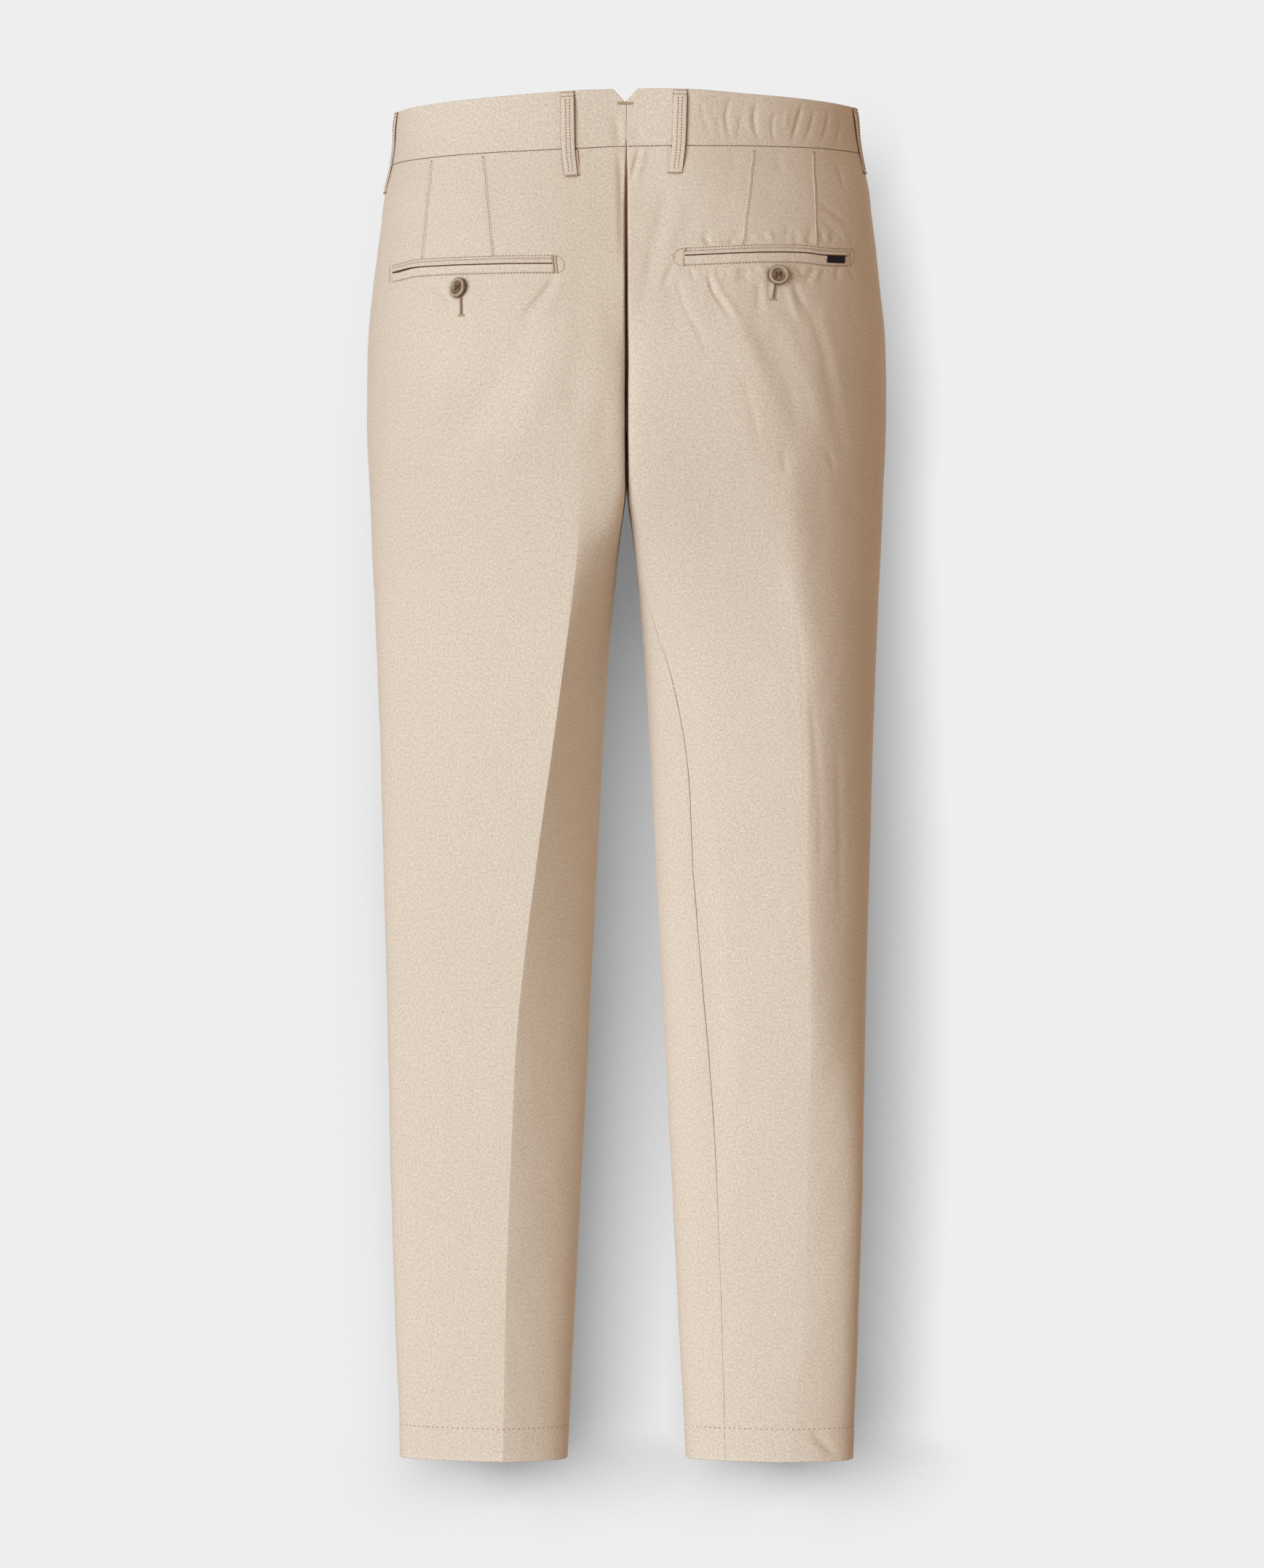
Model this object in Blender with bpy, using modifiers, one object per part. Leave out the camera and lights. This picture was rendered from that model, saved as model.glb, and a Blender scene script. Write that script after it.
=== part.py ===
"""Chino trousers in their worn shape: hollow, with creased legs, jetted back pockets and belt loops.

Metres, +Z up. X runs to the wearer's right and Y to the wearer's front. The origin is the middle of the
waist opening. Each half of the garment is a lofted tube: at every height its section is four quarter
curves that meet at the back crease, the side, the front crease and the inner edge. Above the crotch the
tube is cut off at the centre plane, where the two halves are sewn together.

A point of the cloth is named by its half, its level and its run. The level is a height in millimetres
before the waistline's tilt is added. The run is the distance along the section in millimetres, from the
centre back (or, below the crotch, from the inner edge) round the side to the centre front.
"""

import math

import bmesh
import bpy
import numpy as np
from mathutils import Matrix, Vector

MM = 0.001
LEFT, RIGHT = -1, 1  # the wearer's left and right half, as the sign of x

# Levels, in millimetres.
BAND_TOP = 19.0
WAIST_SEAM = -20.0
CROTCH = -278.0
HEM = -1044.0

# Cloth, in millimetres.
CLOTH_WALL = 2.0
BAND_WALL = 2.6
SEAM_GAP = 0.3
LAY_GAP = 0.35  # between a panel and what lies on it

# Sections of the garment, in millimetres, from the waistband's top to the hem. outer and inner are
# distances from the centre plane, back and front are depths from the middle, groove is how far the
# centre-back seam is drawn in, and square is how sharply the inner side turns at the back and front.
SECTION_COLUMNS = (
    "level",
    "outer",
    "inner",
    "back",
    "front",
    "middle",
    "groove",
    "square_back",
    "square_front",
)
SECTIONS = (
    (24, 179.8, 0.2, 98.0, 95.0, 0, 0, 2.0, 2.0),
    (-5, 179.8, 0.2, 98.5, 96.0, 0, 0, 2.0, 2.0),
    (-20, 183.6, 0.2, 100.0, 98.0, 0, 1, 2.0, 2.0),
    (-43, 190.6, 0.2, 106.0, 100.5, 0, 5, 2.0, 2.0),
    (-66, 193.4, 0.2, 113.0, 103.0, 0, 8, 2.0, 2.0),
    (-112, 199.0, 0.2, 127.0, 107.0, 0, 11, 2.2, 2.0),
    (-158, 203.7, 0.2, 137.0, 110.0, 0, 12, 3.0, 2.4),
    (-190, 204.7, 0.2, 140.0, 111.0, 0, 11, 4.0, 3.0),
    (-238, 204.6, 0.2, 134.0, 108.0, 1, 5, 6.5, 4.5),
    (-278, 202.9, 0.2, 122.0, 102.0, 2, 0, 7.5, 5.5),
    (-324, 201.1, 5.8, 107.0, 94.0, 5, 0, 5.0, 4.2),
    (-382, 198.7, 11.5, 93.0, 85.0, 8, 0, 3.4, 3.2),
    (-468, 195.3, 17.6, 79.0, 75.0, 10, 0, 2.7, 2.6),
    (-583, 192.2, 23.6, 65.0, 64.0, 12, 0, 2.4, 2.4),
    (-698, 189.1, 29.3, 55.0, 55.0, 11, 0, 2.3, 2.3),
    (-813, 186.7, 35.2, 49.0, 50.0, 9, 0, 2.2, 2.2),
    (-928, 183.1, 40.8, 46.0, 47.0, 6, 0, 2.2, 2.2),
    (-1044, 178.7, 46.9, 44.0, 45.0, 4, 0, 2.2, 2.2),
)

# Where the section is deepest, which is the pressed crease on the legs, as distances from the centre
# plane in millimetres. Both legs hang turned a little to the wearer's right at the back.
CREASE_COLUMNS = ("level", "left_back", "right_back", "left_front", "right_front")
CREASES = (
    (24, 30, 40, 80, 80),
    (-66, 36, 52, 92, 88),
    (-158, 41, 70, 98, 92),
    (-238, 40, 86, 101, 92),
    (-278, 35, 96, 103, 90),
    (-324, 37.5, 112, 110, 86),
    (-382, 44, 130, 122, 81),
    (-468, 55.5, 147.5, 134, 79),
    (-583, 71.5, 151.5, 133, 78),
    (-698, 85, 155, 130, 79),
    (-813, 91, 152.5, 130, 83),
    (-928, 95, 144, 129, 88),
    (-1044, 97, 128, 128, 98),
)

# How sharp the crease is: 2 is round, and less is a firmer fold.
SHARPNESS_COLUMNS = ("level", "left_back", "right_back", "left_front", "right_front")
SHARPNESS = (
    (24, 2.0, 2.0, 2.0, 2.0),
    (-158, 2.0, 2.0, 1.85, 1.85),
    (-238, 2.0, 2.0, 1.7, 1.7),
    (-284, 1.75, 1.95, 1.6, 1.6),
    (-324, 1.45, 1.85, 1.5, 1.5),
    (-382, 1.32, 1.7, 1.42, 1.42),
    (-583, 1.25, 1.45, 1.35, 1.35),
    (-1044, 1.25, 1.4, 1.3, 1.3),
)

# How far the leg seams lie behind the section's innermost and outermost points, in millimetres.
SEAM_COLUMNS = ("level", "left_inseam", "right_inseam", "left_side", "right_side")
SEAMS = (
    (24, 0, 0, -6, -8),
    (-278, 0, 0, -8, -16),
    (-330, -12, 50, -8, -20),
    (-400, -18, 60, -8, -24),
    (-600, -22, 46, -6, -26),
    (-1044, -18, 46, -4, -22),
)

# The waistline's tilt and rise: per millimetre of x, at the back, at the centre back and at the front.
TOP_TILT, SEAM_TILT = 0.0086, 0.0235
TOP_BACK_RISE, TOP_CENTRE_RISE, TOP_CENTRE_WIDTH = 3.5, 4.0, 80.0
SEAM_CENTRE_RISE, SEAM_CENTRE_WIDTH = 1.3, 40.0
TOP_FRONT_DROP, SEAM_FRONT_DROP = 14.0, 15.0
TILT_FADES_AT = -140.0

# How quickly the centre seams sink towards the crotch.
BACK_RISE_POWER, FRONT_RISE_POWER = 4.0, 4.0
GROOVE_WIDTH = 9.0

# Large soft folds of the seat and legs: from (x, level) to (x, level), half width, and depth, which is
# negative for a ridge. Millimetres; back is True for a fold on the back.
FOLD_COLUMNS = ("back", "x_from", "level_from", "x_to", "level_to", "width", "depth")
FOLDS = (
    (True, 97, -128, 128, -262, 11, 5.0),
    (True, 118, -125, 150, -250, 10, 4.0),
    (True, 140, -140, 162, -300, 12, -3.0),
    (True, -88, -150, -150, -262, 17, 3.0),
    (True, 128, -262, 138, -400, 14, -3.0),
    (False, 60, -560, 130, -610, 16, 3.0),
    (False, -60, -580, -130, -620, 16, 3.0),
)

# Grid of a leg panel: rows above and below the crotch, and columns each side of the crease.
ROWS_ABOVE, ROWS_BELOW = 13, 17
COLUMNS_INNER, COLUMNS_OUTER = 8, 8
BAND_ROWS = 3
CURVE_STEPS = 48  # samples of each quarter of a section

BAND_COLUMNS = 22
NOTCH_DEPTH = 10.0
NOTCH_WIDTH = {LEFT: 10.5, RIGHT: 7.0}
LAP = 32.0  # how far the left waistband laps past the centre front
LAP_STEP = 12.0  # run over which the right waistband steps in under it
LAP_COLUMNS = (0.14, 0.27, 0.64, 1.0)  # shares of the step and lap together

# Belt loops: share of the way from top to foot, and how far the strap's underside stands off the cloth.
LOOP_PROFILE = (
    (0.0, 0.35),
    (0.03, 0.35),
    (0.075, 3.0),
    (0.12, 4.9),
    (0.19, 5.6),
    (0.45, 5.6),
    (0.70, 5.2),
    (0.81, 4.2),
    (0.89, 2.2),
    (0.945, 0.35),
    (1.0, 0.35),
)
LOOP_WIDTH, LOOP_WALL = 11.4, 1.0
LOOP_TOP = 18.6
BACK_LOOP_FOOT, FRONT_LOOP_FOOT = -42.0, -42.0
SIDE_LOOP_FOOT = {LEFT: -43.0, RIGHT: -36.0}
BACK_LOOP_X = {LEFT: (45.6, 42.5), RIGHT: (42.0, 38.0)}  # from the centre, at the top and the foot
SIDE_LOOP_BACK = {LEFT: 1.0, RIGHT: 5.5}  # behind the side, along the cloth
FRONT_LOOP_X = 82.0

# Back pockets: x of the inner and outer end, and the slit's level there.
POCKET_X = {LEFT: (56.0, 183.0), RIGHT: (44.6, 172.0)}
POCKET_LEVEL = {LEFT: (-112.8, -110.8), RIGHT: (-105.8, -100.8)}
WELT_HEIGHT, WELT_WALL = 6.0, 1.0
WELT_COLUMNS = 12
TAB_X, TAB_HEIGHT, TAB_WALL = (155.3, 169.3), 5.2, 0.6

# Slanted front pockets: the mouth's distance from the side seam at the waist, and the level where the
# slant meets the side seam.
POCKET_MOUTH, POCKET_FOOT = 46.0, -186.0
FACING_ABOVE_FOOT = 6.0
FACING_COLUMNS = 4

# The fly flap: its width, how far it laps past the centre front, and the levels where its edge starts to
# curve in and where it ends.
FLY_WIDTH, FLY_WALL, FLY_PAST = 36.0, 1.2, 4.0
FLY_TURN, FLY_FOOT = -128.0, -172.0
FLY_ROWS = 10
FLY_COLUMNS = (1.0, 0.75, 0.5, 0.25, 0.09)  # shares of its width

# Half the outline of a button: (radius, height), down its outer side from the middle of its face.
BUTTON_PROFILE = ((0, 1.9), (5.0, 1.9), (6.2, 2.6), (7.2, 2.8), (8.0, 2.0), (8.0, 0.8), (7.2, 0), (0, 0))
HOLE_CIRCLE, HOLE_RADIUS = 2.1, 0.8
BUTTON_STAND = 0.8  # between the cloth and the back of a button, which its thread holds off
BUTTON_STEPS = 24
# Where each button sits: x and level, and how many degrees it is turned about the vertical.
BACK_BUTTON = {LEFT: (131.3, -128.6, -10.0), RIGHT: (118.4, -118.9, 0.0)}
WAIST_BUTTON = (20.0, 0.0, 0.0)

COTTON = ("cotton_twill", (0.74, 0.64, 0.53), 0.9)
HORN = ("horn_button", (0.16, 0.08, 0.04), 0.35)
TAPE = ("label_tape", (0.02, 0.025, 0.06), 0.8)


def table(columns, rows):
    """A table as one array for each column name, with rows in rising order of level."""
    values = np.array(rows, float)[::-1]
    return dict(zip(columns, values.T))


SECTION_TABLE = table(SECTION_COLUMNS, SECTIONS)
CREASE_TABLE = table(CREASE_COLUMNS, CREASES)
SHARPNESS_TABLE = table(SHARPNESS_COLUMNS, SHARPNESS)
SEAM_TABLE = table(SEAM_COLUMNS, SEAMS)


def read(source, name, level):
    """Smooth curve through one column of a table: cubic pieces whose slopes come from their neighbours."""
    knots, values = source["level"], source[name]
    slopes = np.gradient(values, knots)
    level = np.clip(level, knots[0], knots[-1])
    i = np.clip(np.searchsorted(knots, level) - 1, 0, len(knots) - 2)
    span = knots[i + 1] - knots[i]
    t = (level - knots[i]) / span
    start, end = values[i], values[i + 1]
    curve = (1 + 2 * t) * (1 - t) ** 2 * start + t**2 * (3 - 2 * t) * end
    return curve + span * t * (1 - t) * ((1 - t) * slopes[i] - t * slopes[i + 1])


def ease(t):
    """0 to 1 with flat ends."""
    t = np.clip(t, 0, 1)
    return t * t * (3 - 2 * t)


def half_name(half):
    """left or right, for a node's name or a table's column."""
    return "left" if half == LEFT else "right"


def quarter(half, face, part, level):
    """Points of one quarter of the section from its crease: arrays (distance from the centre plane, y).

    The quarter is a superellipse: with t running from 0 at the crease to 1 at the edge, the depth is
    (1 - t ** sharpness) ** (1 / square). The inner quarter stops at the centre plane.
    """
    column = f"{half_name(half)}_{face}"
    crease = read(CREASE_TABLE, column, level)
    sharpness = read(SHARPNESS_TABLE, column, level)
    depth = read(SECTION_TABLE, face, level)
    stop = 1.0
    if part == "outer":
        edge, square = read(SECTION_TABLE, "outer", level), 2.0
    else:
        edge, square = read(SECTION_TABLE, "inner", level), read(SECTION_TABLE, f"square_{face}", level)
        if level > CROTCH:
            power = BACK_RISE_POWER if face == "back" else FRONT_RISE_POWER
            height = min(1.0, (level - CROTCH) / (WAIST_SEAM - CROTCH))
            centre = math.sqrt(1 - (1 - height) ** power)
            reach = max(0.15, (1 - centre**square) ** (1 / sharpness))
            edge = crease - (crease - edge) / reach
            stop = (crease - SEAM_GAP / 2) / (crease - edge)
    # Equal steps of an angle crowd the samples towards the edge, where the curve turns.
    angle = np.linspace(0, math.asin(min(1.0, stop ** (sharpness / 2))), CURVE_STEPS)
    across = np.sin(angle) ** (2 / sharpness)
    deep = depth * np.cos(angle) ** (2 / square)
    away = crease + (edge - crease) * across
    if face == "back":
        groove = read(SECTION_TABLE, "groove", level)
        deep = deep - groove * np.clip(1 - away / GROOVE_WIDTH, 0, 1) ** 2
    y = read(SECTION_TABLE, "middle", level) + (-deep if face == "back" else deep)
    return away, y


def section(half, level):
    """The half's whole section: points (n, 2) as (x, y), the run of each, and the runs of its landmarks.

    The landmarks are where the four quarters end.
    """
    path = []
    ends = {}
    for face, part, backwards, landmark in (
        ("back", "inner", True, "back_crease"),
        ("back", "outer", False, "side"),
        ("front", "outer", True, "front_crease"),
        ("front", "inner", False, "end"),
    ):
        away, y = quarter(half, face, part, level)
        points = np.stack([half * away, y], axis=1)
        if backwards:
            points = points[::-1]
        path.append(points if not path else points[1:])
        ends[landmark] = sum(len(piece) for piece in path) - 1
    points = np.concatenate(path)
    steps = np.linalg.norm(np.diff(points, axis=0), axis=1)
    run = np.concatenate([[0], np.cumsum(steps)])
    return points, run, {landmark: run[i] for landmark, i in ends.items()}


def lift(x, y, level):
    """How far the waistline's tilt and rise move a point up, in millimetres."""
    back = np.clip(-y / 100, 0, 1) ** 2
    front = np.clip(y / 100, 0, 1) ** 2
    top = TOP_TILT * x + back * (TOP_BACK_RISE + TOP_CENTRE_RISE * np.exp(-((x / TOP_CENTRE_WIDTH) ** 2)))
    top = top - front * TOP_FRONT_DROP
    seam = SEAM_TILT * x + back * SEAM_CENTRE_RISE * np.exp(-((x / SEAM_CENTRE_WIDTH) ** 2))
    seam = seam - front * SEAM_FRONT_DROP
    up = np.clip((level - WAIST_SEAM) / (BAND_TOP - WAIST_SEAM), 0, 1.3)
    fade = ease((level - TILT_FADES_AT) / (WAIST_SEAM - TILT_FADES_AT))
    return np.where(level > WAIST_SEAM, seam + (top - seam) * up, seam * fade)


def fold_depth(x, level, back):
    """Summed depth of the large folds at a point: each is a soft trough that fades at its ends."""
    total = np.zeros_like(x)
    for row in FOLDS:
        fold = dict(zip(FOLD_COLUMNS, row))
        if fold["back"] != back:
            continue
        run_x = fold["x_to"] - fold["x_from"]
        run_level = fold["level_to"] - fold["level_from"]
        length = math.hypot(run_x, run_level)
        along = ((x - fold["x_from"]) * run_x + (level - fold["level_from"]) * run_level) / length**2
        across = ((x - fold["x_from"]) * run_level - (level - fold["level_from"]) * run_x) / length
        fade = ease(1.5 - 2.2 * np.abs(along - 0.5))
        total += fold["depth"] * fade * np.exp(-((across / fold["width"]) ** 2))
    return total


def cloth(half, run, level):
    """Cloth points in millimetres for arrays of run and level, as (..., 3)."""
    run, level = np.broadcast_arrays(np.asarray(run, float), np.asarray(level, float))
    x, y = np.empty(run.shape), np.empty(run.shape)
    for value in np.unique(level):
        here = level == value
        points, runs, marks = section(half, value)
        wanted = run[here]
        if value <= CROTCH:
            wanted = np.mod(wanted, runs[-1])
        x[here] = np.interp(wanted, runs, points[:, 0])
        y[here] = np.interp(wanted, runs, points[:, 1])
    side = read(SECTION_TABLE, "outer", level)
    # Folds push the back forward and the front backward, and fade out towards the side.
    facing = np.sqrt(np.clip(1 - (x / side) ** 2, 0, 1))
    y = np.where(y < 0, y + facing * fold_depth(x, level, True), y - facing * fold_depth(x, level, False))
    return np.stack([x, y, level + lift(x, y, level)], axis=-1)


def cloth_normals(half, run, level, step=0.6):
    """Outward unit normals of the cloth, from its slopes along the run and the level."""
    low = np.where(level > CROTCH, np.maximum(run - step, 0), run - step)
    along = cloth(half, run + step, level) - cloth(half, low, level)
    up = cloth(half, run, np.minimum(level + step, BAND_TOP + step)) - cloth(half, run, level - step)
    normals = half * np.cross(along, up)
    return normals / np.linalg.norm(normals, axis=-1, keepdims=True)


def moved_out(half, run, level, distance):
    """Cloth points moved out along their normals by a distance in millimetres."""
    normals = cloth_normals(half, run, level)
    return cloth(half, run, level) + normals * np.asarray(distance, float)[..., None]


def run_at_x(half, level, x, front=False):
    """The run where the back, or the front, of the section reaches x."""
    points, runs, marks = section(half, level)
    away = np.abs(points[:, 0])
    if front:
        keep = runs >= marks["side"]
        return float(np.interp(-abs(x), -away[keep], runs[keep]))
    keep = runs <= marks["side"]
    return float(np.interp(abs(x), away[keep], runs[keep]))


def wall(name, outside, inside, material):
    """A closed sheet between two grids of points in millimetres, as an object.

    Both grids have the same rows and columns, and four strips close the edges.
    """
    rows, columns = outside.shape[:2]
    count = rows * columns
    index = np.arange(count).reshape(rows, columns)
    quads = np.stack([index[:-1, :-1], index[:-1, 1:], index[1:, 1:], index[1:, :-1]], axis=-1).reshape(-1, 4)
    ring = np.concatenate([index[0, :], index[1:, -1], index[-1, -2::-1], index[-2:0:-1, 0]])
    after = np.roll(ring, -1)
    rim = np.stack([ring, ring + count, after + count, after], axis=-1)
    faces = np.concatenate([quads, quads[:, ::-1] + count, rim])
    # The grid's own normals have to point from the inside to the outside.
    turn = np.cross(outside[0, 1] - outside[0, 0], outside[1, 0] - outside[0, 0])
    if np.dot(turn, outside[0, 0] - inside[0, 0]) < 0:
        faces = faces[:, ::-1]
    points = np.concatenate([outside.reshape(-1, 3), inside.reshape(-1, 3)]) * MM
    mesh = bpy.data.meshes.new(name)
    mesh.from_pydata(points.tolist(), [], faces.tolist())
    mesh.shade_smooth()
    mesh.set_sharp_from_angle(angle=math.radians(50))
    return finished(name, mesh, material)


def finished(name, mesh, material):
    """Links a mesh as an object of the trousers, with its material."""
    mesh.materials.append(material)
    made = bpy.data.objects.new(name, mesh)
    trousers.objects.link(made)
    return made


def material_of(name, colour, roughness):
    """A plain material that isn't metal."""
    made = bpy.data.materials.new(name)
    made.use_nodes = True
    shader = made.node_tree.nodes["Principled BSDF"]
    shader.inputs["Base Color"].default_value = (*colour, 1)
    shader.inputs["Roughness"].default_value = roughness
    shader.inputs["Metallic"].default_value = 0
    return made


def leg_levels():
    """Row levels of a leg panel, crowded towards the crotch, where the seam curves."""
    above = np.linspace(1, 0, ROWS_ABOVE + 1)
    below = np.linspace(0, 1, ROWS_BELOW + 1)[1:]
    top = WAIST_SEAM - SEAM_GAP / 2
    return np.concatenate([CROTCH + (top - CROTCH) * above**1.7, CROTCH + (HEM - CROTCH) * below**1.35])


def leg_runs(half, level):
    """Runs of a leg row's landmarks: inner edge, back crease, side seam and front crease, and the seams' gap.

    Below the crotch the inner edge is the inseam, and above it the centre seam, which needs no gap here
    because the section already stops short of the centre plane.
    """
    points, runs, marks = section(half, level)
    side = marks["side"] - float(read(SEAM_TABLE, f"{half_name(half)}_side", level))
    inseam = f"{half_name(half)}_inseam"
    back_edge, front_edge = 0.0, marks["end"]
    if level <= CROTCH:
        start = float(read(SEAM_TABLE, inseam, level))
        slant = (read(SEAM_TABLE, inseam, level + 2) - read(SEAM_TABLE, inseam, level - 2)) / 4
        gap = SEAM_GAP / 2 * math.hypot(1, slant)
        back_edge, front_edge = start + gap, marks["end"] + start - gap
    return back_edge, marks["back_crease"], side, marks["front_crease"], front_edge


def pocket_inset(level):
    """Distance of the slanted pocket's edge from the side seam, in millimetres."""
    return POCKET_MOUTH * np.clip((level - POCKET_FOOT) / (WAIST_SEAM - POCKET_FOOT), 0, 1)


def panel_grid(half, face):
    """Runs and levels of a leg panel's grid, with a column on the crease."""
    levels = leg_levels()
    inward = np.linspace(0, 1, COLUMNS_INNER + 1) ** 1.5
    outward = np.linspace(0, 1, COLUMNS_OUTER + 1)[1:]
    runs = []
    for level in levels:
        back_edge, back_crease, side, front_crease, front_edge = leg_runs(half, level)
        if face == "back":
            first, crease, last = back_edge, back_crease, side - SEAM_GAP / 2
        else:
            first, crease = front_edge, front_crease
            last = side + float(pocket_inset(level)) + SEAM_GAP / 2
        runs.append(np.concatenate([first + (crease - first) * inward, crease + (last - crease) * outward]))
    runs = np.array(runs)
    return runs, np.broadcast_to(levels[:, None], runs.shape)


def sheet_on_cloth(name, half, runs, levels, offset, thickness, material):
    """A wall whose outside lies at an offset from the cloth's surface, in millimetres."""
    outside = moved_out(half, runs, levels, np.broadcast_to(offset, runs.shape))
    inside = moved_out(half, runs, levels, np.broadcast_to(offset, runs.shape) - thickness)
    return wall(name, outside, inside, material)


def leg_panels(half):
    """The back and the front panel of one leg, from the waistband's seam to the hem."""
    for face in ("back", "front"):
        runs, levels = panel_grid(half, face)
        name = f"{face}_{half_name(half)}"
        sheet_on_cloth(name, half, runs, levels, 0.0, CLOTH_WALL, twill)


def pocket_facing(half):
    """The triangle of cloth that shows between the slanted pocket edge and the side seam."""
    levels = leg_levels()
    levels = levels[levels > POCKET_FOOT + FACING_ABOVE_FOOT]
    runs = []
    for level in levels:
        side = leg_runs(half, level)[2]
        first, last = side + SEAM_GAP / 2, side + float(pocket_inset(level)) - SEAM_GAP / 2
        runs.append(np.linspace(first, last, FACING_COLUMNS + 1))
    runs = np.array(runs)
    levels = np.broadcast_to(levels[:, None], runs.shape)
    sheet_on_cloth(f"front_pocket_facing_{half_name(half)}", half, runs, levels, 0.0, CLOTH_WALL, twill)


def band_levels():
    """Row levels of the waistband."""
    return np.linspace(WAIST_SEAM + SEAM_GAP / 2, BAND_TOP, BAND_ROWS + 1)


def waistband(half):
    """Half the waistband, from the notch at the centre back to the front, where the left laps the right."""
    levels = band_levels()
    ends = np.array([section(half, level)[2]["end"] for level in levels])
    notch = np.full_like(ends, NOTCH_WIDTH[half])
    body_end = ends - LAP - LAP_STEP
    share = np.linspace(0, 1, BAND_COLUMNS + 1)
    body = notch[:, None] + (body_end - notch)[:, None] * share
    front = body_end[:, None] + (LAP + LAP_STEP) * np.array(LAP_COLUMNS)
    runs = np.concatenate([np.zeros((len(ends), 1)), body, front], axis=1)
    levels = np.broadcast_to(levels[:, None], runs.shape).copy()
    levels[:, 0] -= NOTCH_DEPTH * np.linspace(0, 1, BAND_ROWS + 1)
    if half == RIGHT:
        # The front end steps inwards, under the lap of the left half.
        step = (BAND_WALL + SEAM_GAP) * ease((runs - body_end[:, None]) / LAP_STEP)
        sheet_on_cloth("waistband_right", RIGHT, runs, levels, -step, BAND_WALL, twill)
        return
    # Past the centre front it goes on over the other half, whose runs fall towards the side.
    other_ends = np.array([section(RIGHT, level)[2]["end"] for level in band_levels()])
    past_runs = other_ends[:, None] - LAP * np.array([1, 2, 3]) / 3
    past_levels = np.broadcast_to(levels[:, -1:], past_runs.shape)
    skins = []
    for offset in (0.0, -BAND_WALL):
        own = moved_out(LEFT, runs, levels, offset)
        lapped = moved_out(RIGHT, past_runs, past_levels, offset)
        skins.append(np.concatenate([own, lapped], axis=1))
    wall("waistband_left", *skins, twill)


def belt_loop(name, half, foot, run_at):
    """A strap sewn down at the waistband's top edge and below its seam, and clear of the cloth between.

    run_at gives the run of the strap's middle at a level, which is asked at the top and the foot.
    """
    share, stand = np.array(LOOP_PROFILE).T
    top_run, foot_run = run_at(LOOP_TOP), run_at(foot)
    middle = top_run + (foot_run - top_run) * share
    runs = middle[:, None] + LOOP_WIDTH * np.array([-0.5, 0.0, 0.5])
    levels = np.broadcast_to((LOOP_TOP + (foot - LOOP_TOP) * share)[:, None], runs.shape)
    sheet_on_cloth(name, half, runs, levels, (stand + LOOP_WALL)[:, None], LOOP_WALL, twill)


def belt_loops(half):
    """The three loops of one half: beside the centre back, at the side and on the front."""
    side = half_name(half)
    top_x, foot_x = BACK_LOOP_X[half]

    def back_run(level):
        return run_at_x(half, level, top_x if level == LOOP_TOP else foot_x)

    def side_run(level):
        return section(half, level)[2]["side"] - SIDE_LOOP_BACK[half]

    def front_run(level):
        return run_at_x(half, level, FRONT_LOOP_X, front=True)

    belt_loop(f"belt_loop_back_{side}", half, BACK_LOOP_FOOT, back_run)
    belt_loop(f"belt_loop_side_{side}", half, SIDE_LOOP_FOOT[half], side_run)
    belt_loop(f"belt_loop_front_{side}", half, FRONT_LOOP_FOOT, front_run)


def pocket_strip(name, half, x_ends, level_ends, rise, stand, thickness, columns, material):
    """A strip on a back panel between two x, its lower and upper edges rise away from a sloping line."""
    xs = np.linspace(*x_ends, columns + 1)
    line = np.linspace(*level_ends, columns + 1)
    levels = line + np.array(rise)[::-1, None]
    runs = np.array([[run_at_x(half, level, x) for x, level in zip(xs, row)] for row in levels])
    sheet_on_cloth(name, half, runs, levels, stand + thickness, thickness, material)


def back_pocket(half):
    """The upper and lower welts of a jetted pocket, with the slit between them."""
    x_ends, level_ends = POCKET_X[half], POCKET_LEVEL[half]
    slit = SEAM_GAP
    for place, rise in (("upper", (slit, WELT_HEIGHT)), ("lower", (-WELT_HEIGHT, -slit))):
        name = f"back_pocket_welt_{place}_{half_name(half)}"
        pocket_strip(name, half, x_ends, level_ends, rise, LAY_GAP, WELT_WALL, WELT_COLUMNS, twill)


def label_tab():
    """A plain tape tab hanging from the slit over the lower welt, near the right pocket's outer end."""
    share = [(x - POCKET_X[RIGHT][0]) / (POCKET_X[RIGHT][1] - POCKET_X[RIGHT][0]) for x in TAB_X]
    inner, outer = POCKET_LEVEL[RIGHT]
    level_ends = [inner + (outer - inner) * s for s in share]
    stand = LAY_GAP + WELT_WALL + LAY_GAP
    pocket_strip("pocket_label", RIGHT, TAB_X, level_ends, (-TAB_HEIGHT, -SEAM_GAP), stand, TAB_WALL, 2, tape)


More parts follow.
